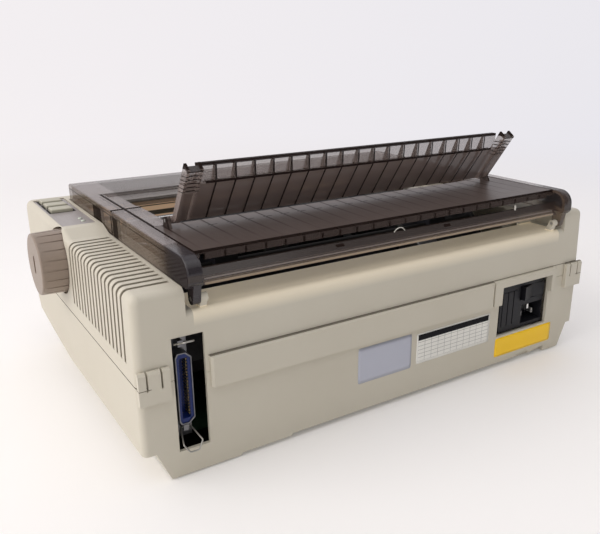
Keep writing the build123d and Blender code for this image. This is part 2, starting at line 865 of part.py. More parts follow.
# ---------------------------------------------------------------- front lid
with BuildPart() as front_lid:
    block((cover_left, cover_half), (lid_front_y, lid_knuckle_y), (lid_front_low_z, cover_z))
    front_rim = front_lid.edges().filter_by(Axis.X).sort_by(Axis.Y)[:2].sort_by(Axis.Z)[-1]
    fillet(front_rim, 3.0)
    side_rims = front_lid.edges().filter_by(Axis.Y).filter_by(
        lambda e: e.center().Z > cover_z - 0.1
    )
    fillet(side_rims, 1.2)
    block(
        (cover_left + cover_wall, cover_half - cover_wall),
        (lid_front_y + cover_wall, lid_knuckle_y + 1),
        (lid_front_low_z - 1, cover_low),
        mode=Mode.SUBTRACT,
    )
    for span in cover_ends((cover_half - cover_wall, cover_half)):
        block(span, (well_front_y + 12, lid_rear_y), (rail_low_z, lid_front_low_z + 1))
        block(span, (lid_knuckle_y - 1, lid_rear_y), (rail_low_z, cover_low))
    rod((cover_left, cover_half), lid_knuckle_y, cover_low, cover_wall)
    # the window: a shallow tray, open along its middle where the paper comes out
    block(
        (-window_width / 2 - well_extra, window_width / 2),
        (window_front_y, lid_rear_y + 1),
        (cover_low - window_drop, cover_low),
    )
    block(
        (-window_width / 2 - well_extra + 1, window_width / 2 - 1),
        (window_front_y + 1, lid_knuckle_y - cover_wall - 0.4),
        (cover_z - window_drop, cover_z + 1),
        mode=Mode.SUBTRACT,
    )
    block(
        (-slot_half, slot_half),
        (slot_front_y, lid_rear_y + 2),
        (cover_low - 4, cover_z + 1),
        mode=Mode.SUBTRACT,
    )
    block(
        (-slot_half - 1.8, slot_half + 1.8),
        (slot_front_y - 1.8, slot_front_y),
        (cover_low - 5, cover_z - window_drop),
    )
    # notches where the rear cover's lugs come through, and bores for the pins
    for span in cover_ends((lid_lug_x[0] - 0.4, lid_lug_x[1] + 0.4)):
        block(
            span,
            (lid_knuckle_y - cover_wall - 0.6, lid_rear_y + 2),
            (cover_low - 4, cover_z + 1),
            mode=Mode.SUBTRACT,
        )
    block(
        (-window_width / 2 - well_extra - 1, window_width / 2 + 1),
        (lid_rear_y, lid_rear_y + 2),
        (cover_low - 4, cover_z + 1),
        mode=Mode.SUBTRACT,
    )
    block(
        (-window_width / 2 - well_extra - 1, window_width / 2 + 1),
        (lid_knuckle_y, lid_rear_y + 2),
        (cover_low - 4, cover_low - cover_wall),
        mode=Mode.SUBTRACT,
    )
    rod(
        (cover_left + cover_wall, cover_half - cover_wall),
        lid_knuckle_y,
        cover_low,
        lid_pin_r + running,
        mode=Mode.SUBTRACT,
    )

# ---------------------------------------------------------------- rear panel
lean = degrees(atan2(guide_ridge[1] - guide_base[1], guide_ridge[0] - guide_base[0]))
guide_pivot = (
    guide_base[0] - 2.4 * sin(radians(lean)) + 1.0 * cos(radians(lean)),
    guide_base[1] + 2.4 * cos(radians(lean)) + 1.0 * sin(radians(lean)),
)

with BuildPart() as rear_panel:
    block(
        (cover_left + rail_width + seam, rail_inner_x - seam),
        (slot_rear_y + seam, panel_rear_y),
        (cover_low, cover_z),
    )
    block(
        (cover_left + rail_width + 7, rail_inner_x - 7),
        (panel_rear_y - 2, panel_rear_y),
        (panel_lip_z, cover_z),
    )
    block(
        (cover_left + rail_width + 7, rail_inner_x - 7),
        (slot_rear_y + seam, slot_rear_y + seam + 1.8),
        (panel_lip_z, cover_z),
    )
    for n in range(guide_rib_count):
        x = (n - (guide_rib_count - 1) / 2) * guide_rib_pitch
        block(
            (x - guide_rib_width / 2, x + guide_rib_width / 2),
            (slot_rear_y + 1, panel_rear_y - 1),
            (cover_low - panel_rib_height, cover_low + 0.5),
        )
    # ears that hold the paper guide's pins
    for span in both_sides(guide_ear_x):
        with BuildSketch(Plane.YZ.offset(span[0])):
            with Locations(guide_pivot):
                Circle(guide_hub_r)
            with BuildLine():
                Polyline(
                    (guide_pivot[0] - guide_hub_r, guide_pivot[1]),
                    (guide_pivot[0] + guide_hub_r, guide_pivot[1]),
                    (guide_pivot[0] + guide_hub_r + 3, cover_z - 0.5),
                    (guide_pivot[0] - guide_hub_r - 1, cover_z - 0.5),
                    close=True,
                )
            make_face()
        extrude(amount=guide_ear_x[1] - guide_ear_x[0])
    rod((-rail_inner_x, rail_inner_x), *guide_pivot, guide_pin_r, mode=Mode.SUBTRACT)

# ---------------------------------------------------------------- paper guide
guide_half = guide_width / 2
sheet_half = guide_half - guide_end_width
slope = Vector(cos(radians(lean)), sin(radians(lean)))
ahead = Vector(-sin(radians(lean)), cos(radians(lean)))


def guide_point(along, out):
    """A point in (Y, Z): along the sheet from its base, and out from its rear face to the front."""
    spot = Vector(*guide_base) + slope * along + ahead * out
    return (spot.X, spot.Y)


ridge_along = hypot(guide_ridge[0] - guide_base[0], guide_ridge[1] - guide_base[1])

with BuildPart() as paper_guide:
    with BuildSketch(Plane.YZ.offset(-sheet_half)):
        with BuildLine():
            Polyline(
                guide_point(1.2, 0),
                guide_ridge,
                guide_top,
                (guide_top[0] - guide_sheet, guide_top[1]),
                (guide_ridge[0] - guide_sheet, guide_ridge[1] + 0.4 * guide_sheet),
                guide_point(1.2, guide_sheet),
                close=True,
            )
        make_face()
        with Locations((guide_top[0] - 2.2, guide_top[1] - 1.0)):
            Rectangle(4.4, 2.0)
        with Locations(guide_ridge):
            Rectangle(1.8, 1.8)
    extrude(amount=2 * sheet_half)
    # ribs on the paper side, each with a gusset in the bend
    for n in range(guide_rib_count):
        x = (n - (guide_rib_count - 1) / 2) * guide_rib_pitch
        with BuildSketch(Plane.YZ.offset(x - guide_rib_width / 2)):
            with BuildLine():
                Polyline(
                    guide_point(2.0, 1.0),
                    guide_point(2.0, guide_sheet + guide_rib_depth),
                    guide_point(ridge_along - 2 * guide_gusset, guide_sheet + guide_rib_depth),
                    (guide_ridge[0] - guide_sheet - guide_gusset, guide_ridge[1] + 0.6),
                    (guide_top[0] - guide_sheet - 1, guide_top[1] - 1.5),
                    (guide_top[0] - 0.6, guide_top[1] - 1.5),
                    (guide_ridge[0] - 0.6, guide_ridge[1]),
                    close=True,
                )
            make_face()
        extrude(amount=guide_rib_width)
    # channel-shaped ends that run straight on past the bend, with a ladder of steps between
    for side in (-1, 1):
        inner_x = side * sheet_half
        outer_x = side * guide_half
        for span, length, rear, front in (
            ((inner_x, outer_x), guide_step_start, 0, guide_sheet),
            ((inner_x, inner_x + side * guide_sheet), guide_end_length, guide_end_rear, guide_end_front),
            ((outer_x - side * guide_sheet, outer_x), guide_end_length, guide_end_rear, guide_end_front),
        ):
            with BuildSketch(Plane.YZ.offset(min(span))):
                Polygon(
                    guide_point(1.2, rear if rear == 0 else -0.2),
                    guide_point(5.0, rear),
                    guide_point(length, rear),
                    guide_point(length, front),
                    guide_point(2.4, front if rear == 0 else 0.6 * front),
                    align=None,
                )
            extrude(amount=abs(span[1] - span[0]))
        for n in range(guide_step_count):
            along = guide_step_start - n * guide_step_pitch
            with BuildSketch(Plane.YZ.offset(min(inner_x, outer_x))):
                Polygon(
                    guide_point(along, guide_end_rear + 0.6),
                    guide_point(along, guide_sheet),
                    guide_point(along - 1.0, guide_sheet),
                    guide_point(along - 1.0, guide_end_rear + 0.6),
                    align=None,
                )
            extrude(amount=guide_end_width)
        hub = (side * (guide_half - 5), side * (guide_ear_x[0] - 0.4))
        rod(hub, *guide_pivot, guide_hub_r)
        rod(
            (side * (guide_half - 7), side * guide_ear_x[0]),
            *guide_pivot,
            guide_pin_r + running,
            mode=Mode.SUBTRACT,
        )

# ---------------------------------------------------------------- hinge pins of the covers
with BuildPart() as hinge_pins:
    for span in cover_ends((cover_ear_x[0] - 0.6 - 4.5, cover_ear_x[1])):
        rod(span, *cover_pivot, cover_pin_r)
    for span in cover_ends((slot_half + 3, cover_half - cover_wall - 0.4)):
        rod(span, lid_knuckle_y, cover_low, lid_pin_r)
    for span in both_sides((guide_half - 6, guide_ear_x[1])):
        rod(span, *guide_pivot, guide_pin_r)

# ---------------------------------------------------------------- platen
shaft_end_x = gear_x - 0.4

with BuildPart() as platen_shaft:
    rod((shaft_end_x, knob_reach - 4), platen_y, platen_z, platen_shaft_r)

with BuildPart() as platen_roller:
    rod((-platen_length / 2, platen_length / 2), platen_y, platen_z, platen_r)
    fillet(platen_roller.edges().filter_by(GeomType.CIRCLE), 0.6)
    rod(
        (-platen_length / 2, platen_length / 2),
        platen_y,
        platen_z,
        platen_shaft_r,
        mode=Mode.SUBTRACT,
    )

with BuildPart() as platen_knob:
    with BuildSketch(along_x(knob_reach - knob_length, platen_y, platen_z)):
        Circle(knob_r)
    with BuildSketch(along_x(knob_reach, platen_y, platen_z)):
        Circle(knob_face_r)
    loft()
    fillet(platen_knob.edges().sort_by(Axis.X)[-1], 1.4)
    with BuildSketch(along_x(knob_reach - knob_length, platen_y, platen_z)):
        with PolarLocations(knob_r + 0.3, knob_groove_count):
            Rectangle(2 * knob_groove, knob_groove)
    extrude(amount=knob_length - 3.0, mode=Mode.SUBTRACT)
    with BuildSketch(along_x(knob_reach - 2.4, platen_y, platen_z)):
        SlotOverall(14.0, 5.0, rotation=90)
    extrude(amount=4, mode=Mode.SUBTRACT)
    rod(
        (knob_reach - knob_length - 1, knob_reach - 4),
        platen_y,
        platen_z,
        platen_shaft_r,
        mode=Mode.SUBTRACT,
    )

platen_gear = gear(platen_axis, platen_teeth, 0, platen_shaft_r, platen_shaft_r + 3)

with BuildPart() as platen_bushes:
    for side in (-1, 1):
        start = side * (frame_half - 1.5)
        flange_x = (start, side * frame_half)
        rod((start, start + side * bush_length), platen_y, platen_z, bush_r)
        rod(flange_x, platen_y, platen_z, bush_r + 1.5)
    rod(
        (-frame_half - 2 * bush_length, frame_half + 2 * bush_length),
        platen_y,
        platen_z,
        platen_shaft_r + running,
        mode=Mode.SUBTRACT,
    )

# ---------------------------------------------------------------- chassis
with BuildPart() as mechanism_base:
    block((-frame_half, frame_half), (pan_front_y, pan_rear_y), (pan_z, pan_z + pan_sheet))
    for y in (pan_front_y, pan_rear_y - pan_sheet):
        block((-frame_half, frame_half), (y, y + pan_sheet), (pan_z, pan_z + 8))
    # the carriage's front rail, bent back at its top
    block((-frame_half, frame_half), (rail_y, rail_y + pan_sheet), (pan_z, rail_z))
    block((-frame_half, frame_half), (rail_y, rail_y + rail_lip), (rail_z - pan_sheet, rail_z))
    # stud for the belt's idler pulley
    post(pulley_x, belt_y, (pan_z, belt_z - belt_height / 2 - 1.6), 5.0)
    post(pulley_x, belt_y, (pan_z, belt_z + belt_height / 2 + 3), motor_shaft_r)
    # screw holes over the four bosses
    for x, y in boss_spots:
        post(x, y, (pan_z - 1, pan_z + 3), screw_r, mode=Mode.SUBTRACT)
    # the opening over the paper feed motor's side
    block((-60, 60), (-30, 60), (pan_z - 1, pan_z + 3), mode=Mode.SUBTRACT)

pressure_reach = platen_r + pressure_r + roller_gap
pressure_axis = (
    platen_y + pressure_reach * cos(radians(pressure_angle)),
    platen_z + pressure_reach * sin(radians(pressure_angle)),
)
bail_reach = platen_r + bail_roller_r + roller_gap
bail_axis = (
    platen_y + bail_reach * cos(radians(bail_angle)),
    platen_z + bail_reach * sin(radians(bail_angle)),
)


def side_frame(x):
    """A sheet-metal side of the mechanism, with a hole for each shaft that it carries."""
    with BuildPart() as sheet:
        with BuildSketch(Plane.YZ.offset(x)):
            Polygon(
                (pan_front_y, frame_low_z),
                (pan_rear_y, frame_low_z),
                (pan_rear_y, 70.0),
                (support_rod_axis[0] + 12, support_rod_axis[1] - 4),
                (tractor_axis[0] + 12, tractor_axis[1] + 7),
                (tractor_axis[0] - 12, tractor_axis[1] + 7),
                (platen_y + 26, platen_z + 11),
                (platen_y - 9, platen_z + 11),
                (bail_pivot[0] - 8, bail_pivot[1] + 4),
                (pan_front_y, belt_z + 8),
                align=None,
            )
            with Locations((28.0, 58.0)):
                RectangleRounded(70.0, 26.0, 6.0, mode=Mode.SUBTRACT)
            with Locations(pinion_axis):
                Circle(motor_r + 4)
            for centre, radius in (
                (platen_axis, bush_r),
                (rod_axis, rod_r),
                (pressure_axis, pressure_shaft_r + running),
                (tractor_axis, tractor_end_r + running),
                (support_rod_axis, support_rod_r),
                (bail_pivot, bail_pivot_r + running),
                (pinion_axis, motor_shaft_r + 2),
            ):
                with Locations(centre):
                    Circle(radius, mode=Mode.SUBTRACT)
        extrude(amount=frame_sheet)
    return sheet


right_side_frame = side_frame(frame_half)

with BuildPart() as left_side_frame:
    add(side_frame(-frame_half - frame_sheet).part)
    for centre in (feed_idler_axis, tractor_idler_axis):
        rod((gear_x - 0.4, -frame_half), *centre, motor_shaft_r)

with BuildPart() as mechanism_screws:
    for x, y in boss_spots:
        post(x, y, (pan_z + pan_sheet, pan_z + pan_sheet + screw_head_height), screw_head_r)
        post(x, y, (pan_z, pan_z + pan_sheet), screw_r)

# ---------------------------------------------------------------- carriage drive
with BuildPart() as carriage_rod:
    rod((-frame_half - 3, frame_half + 3), *rod_axis, rod_r)

fork_gap = 0.3
with BuildPart() as carriage:
    half_carriage = carriage_width / 2
    block(
        (-half_carriage, half_carriage),
        (rod_axis[0] - 14, rod_axis[0] + 12),
        (carriage_low_z, carriage_high_z),
    )
    half_fork = half_carriage - 6
    lip_rear_y = rail_y + rail_lip
    block(
        (-half_fork, half_fork),
        (rail_y + pan_sheet + fork_gap, rod_axis[0]),
        (carriage_low_z, carriage_low_z + 6),
    )
    # fork that grips the lip of the front rail from below, behind and above
    block(
        (-half_fork, half_fork),
        (rail_y + pan_sheet + fork_gap, lip_rear_y + 3),
        (carriage_low_z, rail_z - pan_sheet - fork_gap),
    )
    block((-half_fork, half_fork), (lip_rear_y + fork_gap, lip_rear_y + 3), (rail_z - 3, rail_z + 3))
    block(
        (-half_fork, half_fork),
        (rail_y + 1.5, lip_rear_y + 3),
        (rail_z + fork_gap, rail_z + 3),
    )
    # clamp for the belt's rear run
    run_y = belt_y + pulley_r + belt_thick / 2
    block((-9, 9), (run_y - 3, run_y + 3), (carriage_low_z, belt_z + belt_height / 2 + 2))
    block(
        (-10, 10),
        (run_y - belt_thick / 2 - fork_gap, run_y + belt_thick / 2 + fork_gap),
        (belt_z - belt_height / 2 - fork_gap, belt_z + belt_height / 2 + 3),
        mode=Mode.SUBTRACT,
    )
    rod((-half_carriage, half_carriage), *rod_axis, rod_r + running, mode=Mode.SUBTRACT)

with BuildPart() as print_head:
    nose_y = platen_y - platen_r - head_gap
    body_rear_y = nose_y - 12
    body_front_y = rod_axis[0] - 14
    half_head = head_width / 2
    block(
        (-half_head, half_head),
        (body_front_y, body_rear_y),
        (carriage_high_z, carriage_high_z + 20),
    )
    with BuildSketch(facing_rear(nose_y)):
        with Locations((0, platen_z)):
            Rectangle(4.0, 12.0)
    with BuildSketch(facing_rear(body_rear_y)):
        with Locations((0, platen_z)):
            Rectangle(head_width - 8, 16.0)
    loft()
    # cooling fins along the body
    for n in range(5):
        y = body_front_y + 3 + n * 4
        for span in both_sides((half_head - 4, half_head + 1)):
            block(span, (y, y + 2), (carriage_high_z + 3, carriage_high_z + 21), Mode.SUBTRACT)

with BuildPart() as ribbon_cartridge:
    half_cartridge = cartridge_width / 2
    tray_z = carriage_high_z + 20
    with BuildSketch(Plane.XY.offset(tray_z)):
        with BuildLine():
            Polyline(
                (-half_cartridge, body_front_y - 12),
                (half_cartridge, body_front_y - 12),
                (half_cartridge, rod_axis[0]),
                (22, nose_y - 1),
                (12, nose_y - 1),
                (12, body_front_y + 14),
                (-12, body_front_y + 14),
                (-12, nose_y - 1),
                (-22, nose_y - 1),
                (-half_cartridge, rod_axis[0]),
                close=True,
            )
        make_face()
    extrude(amount=4.5)
    # the two horns that hold the ribbon in front of the head's nose, and the winding knob
    ribbon_y = nose_y + head_gap / 2
    for span in both_sides((12.0, 22.0)):
        block(span, (nose_y - 9, ribbon_y), (platen_z - 6.5, tray_z + 4.5))
    block((-13, 13), (ribbon_y - 0.1, ribbon_y), (platen_z - 6, platen_z + 6))
    post(-half_cartridge + 14, body_front_y - 2, (tray_z + 4, tray_z + 7), 6.0)


def pulley(x):
    """A flanged timing pulley, its groove as wide as the belt."""
    low = belt_z - belt_height / 2 - fork_gap
    high = belt_z + belt_height / 2 + fork_gap
    post(x, belt_y, (low - 1.0, low), pulley_r + 1.8)
    post(x, belt_y, (low, high), pulley_r - fork_gap)
    post(x, belt_y, (high, high + 1.0), pulley_r + 1.8)


with BuildPart() as motor_pulley:
    pulley(-pulley_x)
    motor_top_z = pan_z + pan_sheet + motor_height + 1.5
    post(-pulley_x, belt_y, (motor_top_z, belt_z + belt_height / 2 + 3), motor_shaft_r)

with BuildPart() as idler_pulley:
    pulley(pulley_x)
    post(pulley_x, belt_y, (belt_z - 8, belt_z + 8), motor_shaft_r + running, Mode.SUBTRACT)

with BuildPart() as carriage_motor:
    motor_low_z = pan_z + pan_sheet
    post(-pulley_x, belt_y, (motor_low_z, motor_low_z + motor_height), carriage_motor_r)
    fillet(carriage_motor.edges().filter_by(GeomType.CIRCLE), 1.2)
    post(-pulley_x, belt_y, (motor_low_z + 1, motor_top_z), 6.0)

with BuildPart() as carriage_belt:
    with BuildSketch(Plane.XY.offset(belt_z - belt_height / 2)):
        with Locations((0, belt_y)):
            SlotCenterToCenter(2 * pulley_x, 2 * (pulley_r + belt_thick))
            SlotCenterToCenter(2 * pulley_x, 2 * pulley_r, mode=Mode.SUBTRACT)
    extrude(amount=belt_height)

# ---------------------------------------------------------------- paper feed
with BuildPart() as feed_motor:
    rod((-frame_half, -frame_half + motor_height), *pinion_axis, motor_r)
    fillet(feed_motor.edges().filter_by(GeomType.CIRCLE), 1.2)

stud_bore = motor_shaft_r + running
feed_idler_gear = gear(feed_idler_axis, feed_idler_teeth, feed_idler_turn, stud_bore, 6.0)
tractor_idler_gear = gear(
    tractor_idler_axis, tractor_idler_teeth, tractor_idler_turn, stud_bore, 6.0
)
tractor_gear = gear(tractor_axis, tractor_teeth, tractor_turn, tractor_end_r, 5.0)

with BuildPart() as feed_pinion:
    add(gear(pinion_axis, pinion_teeth, pinion_turn, pinion_shaft_r, 3.6).part)
    rod((gear_x - 0.4, -frame_half), *pinion_axis, pinion_shaft_r)

with BuildPart() as tractor_shaft:
    rod((gear_x - 0.4, frame_half + 4), *tractor_axis, tractor_end_r)
    with BuildSketch(along_x(-frame_half + 0.5, *tractor_axis)):
        Rectangle(tractor_bar, tractor_bar)
    extrude(amount=2 * frame_half - 1.0)

with BuildPart() as support_rod:
    rod((-frame_half - 3, frame_half + 3), *support_rod_axis, support_rod_r)

with BuildPart() as paper_pan:
    inner_r = platen_r + pan_gap
    start = 348.0
    end = 262.0
    with BuildSketch(Plane.YZ.offset(-platen_length / 2 + 1)):
        with BuildLine():
            CenterArc(platen_axis, inner_r, end, start - end)
            CenterArc(platen_axis, inner_r + 1.0, end, start - end)
            for angle in (start, end):
                spoke = Vector(cos(radians(angle)), sin(radians(angle)))
                hub = Vector(*platen_axis)
                Line(hub + spoke * inner_r, hub + spoke * (inner_r + 1.0))
        make_face()
        lip = Vector(*platen_axis) + Vector(cos(radians(start)), sin(radians(start))) * inner_r
        Polygon(
            (lip.X, lip.Y - 1.2),
            (lip.X + 1.0, lip.Y - 1.2),
            (tractor_front_y - 2, tractor_low_z + 9.2),
            (tractor_front_y - 2, tractor_low_z + 10.2),
            (lip.X, lip.Y + 0.6),
            align=None,
        )
    extrude(amount=platen_length - 2)
    # flanges that fix the pan to the side frames
    for side in (-1, 1):
        block(
            (side * (platen_length / 2 - 2), side * frame_half),
            (platen_y - 1, platen_y + 9),
            (platen_z - inner_r - 1.4, platen_z - inner_r - 0.2),
        )

with BuildPart() as pressure_rollers:
    rod((-frame_half - 2, frame_half + 2), *pressure_axis, pressure_shaft_r)
    for n in range(4):
        x = (n - 1.5) * platen_length / 4
        rod((x - 12, x + 12), *pressure_axis, pressure_r)

with BuildPart() as paper_bail:
    arm_x = frame_half - 3
    rod((-arm_x, arm_x), *bail_axis, bail_rod_r)
    for side in (-1, 1):
        with BuildSketch(Plane.YZ.offset(side * arm_x - bail_arm / 2)):
            with Locations(bail_pivot):
                Circle(5.0)
            with Locations(bail_axis):
                Circle(4.0)
            with BuildLine():
                Polyline(
                    (bail_pivot[0] - 4.2, bail_pivot[1] + 2),
                    (bail_pivot[0] + 4.2, bail_pivot[1] - 2),
                    (bail_axis[0] + 3.2, bail_axis[1] - 1.6),
                    (bail_axis[0] - 3.2, bail_axis[1] + 1.6),
                    close=True,
                )
            make_face()
        extrude(amount=bail_arm)
        rod((side * arm_x, side * (frame_half + frame_sheet)), *bail_pivot, bail_pivot_r)

with BuildPart() as bail_rollers:
    for n in range(3):
        x = (n - 1) * platen_length / 3
        rod((x - 9, x + 9), *bail_axis, bail_roller_r)
    rod((-frame_half, frame_half), *bail_axis, bail_rod_r + running, mode=Mode.SUBTRACT)


# ---------------------------------------------------------------- tractors
flap_axis_z = tractor_high_z + flap_gap + flap_thick / 2
ear_end_y = (tractor_front_y + 2.0, tractor_rear_y - 2.0)


def tractor(x):
    """The frame of a tractor: two cheeks joined by a floor, on the square shaft and the rod."""
    low_x = x - tractor_width / 2
    with BuildPart() as body:
        with BuildSketch(Plane.YZ.offset(low_x)):
            Polygon(
                (tractor_front_y, tractor_low_z + 6),
                (tractor_front_y + 6, tractor_low_z),
                (tractor_rear_y - 4, tractor_low_z),
                (tractor_rear_y, tractor_low_z + 4),
                (tractor_rear_y, tractor_high_z),
                (tractor_front_y, tractor_high_z),
                align=None,
            )
            with Locations(tractor_axis):
                Circle(tractor_bar * 0.75 + 0.4, mode=Mode.SUBTRACT)
            with Locations(support_rod_axis):
                Circle(support_rod_r + running, mode=Mode.SUBTRACT)
        extrude(amount=tractor_width)
        # the space between the cheeks, where the pin wheel turns
        with BuildSketch(Plane.YZ.offset(low_x + tractor_cheek)):
            with Locations(tractor_axis):
                Circle(sprocket_r + sprocket_pin_height + 0.6)
        extrude(amount=tractor_width - 2 * tractor_cheek, mode=Mode.SUBTRACT)
        # bar and two ears for the flap's hinge along the outer edge
        edge_x = x + tractor_width / 2 * (1 if x > 0 else -1)
        inner_x = edge_x - 2.4 * (1 if x > 0 else -1)
        block(
            (edge_x, inner_x),
            (tractor_front_y, tractor_rear_y),
            (tractor_high_z - 1, tractor_high_z + flap_gap - flap_clear),
        )
        for ear_y in ((tractor_front_y, ear_end_y[0]), (ear_end_y[1], tractor_rear_y)):
            block((edge_x, inner_x), ear_y, (tractor_high_z, flap_axis_z + 1.6))
        with Locations((edge_x, (tractor_front_y + tractor_rear_y) / 2, flap_axis_z)):
            Cylinder(
                flap_thick / 2 + running,
                tractor_rear_y - tractor_front_y + 2,
                rotation=(90, 0, 0),
                mode=Mode.SUBTRACT,
            )
    return body


def sprocket(x):
    """A pin wheel with a square bore, its pins at the pitch of the holes in the paper's edge."""
    with BuildPart() as wheel:
        with BuildSketch(along_x(x - sprocket_width / 2, *tractor_axis)):
            Circle(sprocket_r)
            Rectangle(tractor_bar + 2 * running, tractor_bar + 2 * running, mode=Mode.SUBTRACT)
        extrude(amount=sprocket_width)
        for n in range(sprocket_pins):
            turn = 360 / sprocket_pins * n + 30
            spoke = Vector(0, cos(radians(turn)), sin(radians(turn)))
            foot = Vector(x, *tractor_axis) + spoke * (sprocket_r - 1)
            with BuildSketch(Plane(origin=foot, x_dir=(1, 0, 0), z_dir=spoke)):
                Circle(sprocket_pin_r)
            extrude(amount=sprocket_pin_height, taper=12)
    return wheel


def flap(x):
    """The flap that holds the paper on the pins, slotted where the pins pass."""
    low_z = tractor_high_z + flap_gap
    outward = 1 if x > 0 else -1
    with BuildPart() as plate:
        block(
            (x + outward * tractor_width / 2, x - outward * tractor_width / 2),
            (ear_end_y[0] + 0.2, ear_end_y[1] - 0.2),
            (low_z, low_z + flap_thick),
        )
        with Locations(
            (x + outward * tractor_width / 2, (tractor_front_y + tractor_rear_y) / 2, flap_axis_z)
        ):
            Cylinder(
                flap_thick / 2, tractor_rear_y - tractor_front_y - 0.4, rotation=(90, 0, 0)
            )
        block(
            (x - sprocket_width / 2, x + sprocket_width / 2),
            (tractor_axis[0] - 14, tractor_axis[0] + 14),
            (low_z - 1, low_z + 3),
            mode=Mode.SUBTRACT,
        )
    return plate


left_tractor = tractor(-tractor_x)
right_tractor = tractor(tractor_x)
left_sprocket = sprocket(-tractor_x)
right_sprocket = sprocket(tractor_x)
left_tractor_flap = flap(-tractor_x)
right_tractor_flap = flap(tractor_x)


# ---------------------------------------------------------------- parallel connector
def d_outline(length, width, inset, mode=Mode.ADD):
    """The connector's long D: one long side shorter than the other, with slanted corners."""
    half = length / 2 - inset
    side = width / 2 - inset
    Polygon(
        (connector_x + side, connector_z + half - 0.24 * width),
        (connector_x + side - 0.12 * width, connector_z + half),
        (connector_x - side + 0.35 * width, connector_z + half),
        (connector_x - side, connector_z + half - 0.32 * width),
        (connector_x - side, connector_z - half + 0.32 * width),
        (connector_x - side + 0.35 * width, connector_z - half),
        (connector_x + side - 0.12 * width, connector_z - half),
        (connector_x + side, connector_z - half + 0.24 * width),
        align=None,
        mode=mode,
    )


connector_rear_y = connector_face_y - connector_depth

with BuildPart() as connector_shell:
    with BuildSketch(facing_rear(connector_face_y)):
        d_outline(*connector_size, 0)
    extrude(amount=connector_depth)
    with BuildSketch(facing_rear(connector_face_y)):
        d_outline(*connector_size, 0.6)
    extrude(amount=connector_depth, mode=Mode.SUBTRACT)
    # mounting flange with the two hooks that the wire bails turn in
    flange_z = (connector_gap_z[0] + 2, connector_gap_z[1] - 1)
    with BuildSketch(facing_rear(connector_rear_y + 1.2)):
        with Locations((connector_x, (flange_z[0] + flange_z[1]) / 2)):
            Rectangle(13.0, flange_z[1] - flange_z[0])
        d_outline(*connector_size, 0.6, mode=Mode.SUBTRACT)
    extrude(amount=1.2)
    hook_z = (
        connector_z - connector_size[0] / 2 - 4.6,
        connector_z + connector_size[0] / 2 + 4.6,
    )
    hook_y = connector_rear_y + hook_offset
    for z in hook_z:
        block(
            (connector_x - hook_half, connector_x + hook_half),
            (connector_rear_y, hook_y + 2.0),
            (z - 2.0, z + 2.0),
        )
        rod(
            (connector_x - 4, connector_x + 4),
            hook_y,
            z,
            bail_wire_r + running,
            mode=Mode.SUBTRACT,
        )

with BuildPart() as connector_insulator:
    with BuildSketch(facing_rear(connector_face_y - 0.8)):
        d_outline(*connector_size, 0.6)
    extrude(amount=connector_depth + 4)
    with BuildSketch(facing_rear(connector_face_y - 0.8)):
        with Locations((connector_x, connector_z)):
            Rectangle(5.4, contact_count * contact_pitch + 1.4)
    extrude(amount=connector_depth - 4, mode=Mode.SUBTRACT)

with BuildPart() as connector_contacts:
    for n in range(contact_count):
        z = connector_z + (n - (contact_count - 1) / 2) * contact_pitch
        for x in (connector_x - 2.7, connector_x + 2.1):
            block(
                (x, x + 0.6),
                (connector_face_y - connector_depth + 3.2, connector_face_y - 2.4),
                (z - 0.5, z + 0.5),
            )


def wire_bail(z, lean_out, lean_up, bend):
    """A spring-wire loop: a straight axle in its hook, and two legs that close in a round bow."""
    half = bail_clip_width / 2
    reach = Vector(0, lean_out, lean_up) * bail_clip_length
    knee = reach * 0.5 + Vector(0, bend, 0)
    start = Vector(connector_x, hook_y, z)
    route = FilletPolyline(
        start + Vector(-bail_axle_half, 0, 0),
        start + Vector(bail_axle_half, 0, 0),
        start + Vector(half, 0, 0) + knee,
        start + Vector(half * 0.45, 0, 0) + reach,
        start + Vector(-half * 0.45, 0, 0) + reach,
        start + Vector(-half, 0, 0) + knee,
        radius=1.3,
        close=True,
    )
    with BuildPart() as wire:
        with BuildSketch(Plane(origin=route @ 0, z_dir=route % 0)):
            Circle(bail_wire_r)
        sweep(path=route)
    return wire


lower_bail = wire_bail(hook_z[0], 0.809, -0.59, 5.5)
upper_bail = wire_bail(hook_z[1], 0.92, 0.39, 0.4)

# ---------------------------------------------------------------- power inlet
with BuildPart() as power_inlet:
    block(inlet_x, (inlet_face_y - inlet_depth, inlet_face_y), inlet_z)
    # appliance socket with two slanted corners
    with BuildSketch(facing_rear(inlet_face_y)):
        with Locations((socket_x, socket_z)):
            Rectangle(*socket_size)
            chamfer([v for v in vertices() if v.Z > socket_z], 4.4)
    extrude(amount=socket_depth, mode=Mode.SUBTRACT)
    # hole for the rocker and slot for the fuse drawer
    block(
        (rocker_x - rocker_size[0] / 2 - 0.4, rocker_x + rocker_size[0] / 2 + 0.4),
        (inlet_face_y - 9, inlet_face_y + 1),
        (rocker_z - rocker_size[1] / 2 - 0.4, rocker_z + rocker_size[1] / 2 + 0.4),
        mode=Mode.SUBTRACT,
    )
    block(fuse_x, (inlet_face_y - 20, inlet_face_y + 1), (inlet_z[0] + 5, inlet_z[1] - 5), Mode.SUBTRACT)
    # bores for the rocker's two stub pins
    rocker_low = rocker_z - rocker_pin[1]
    rocker_high = rocker_z + rocker_pin[1]
    post(
        rocker_x,
        inlet_face_y - 4,
        (rocker_low - 0.2, rocker_high + 0.2),
        rocker_pin[0] + running,
        mode=Mode.SUBTRACT,
    )

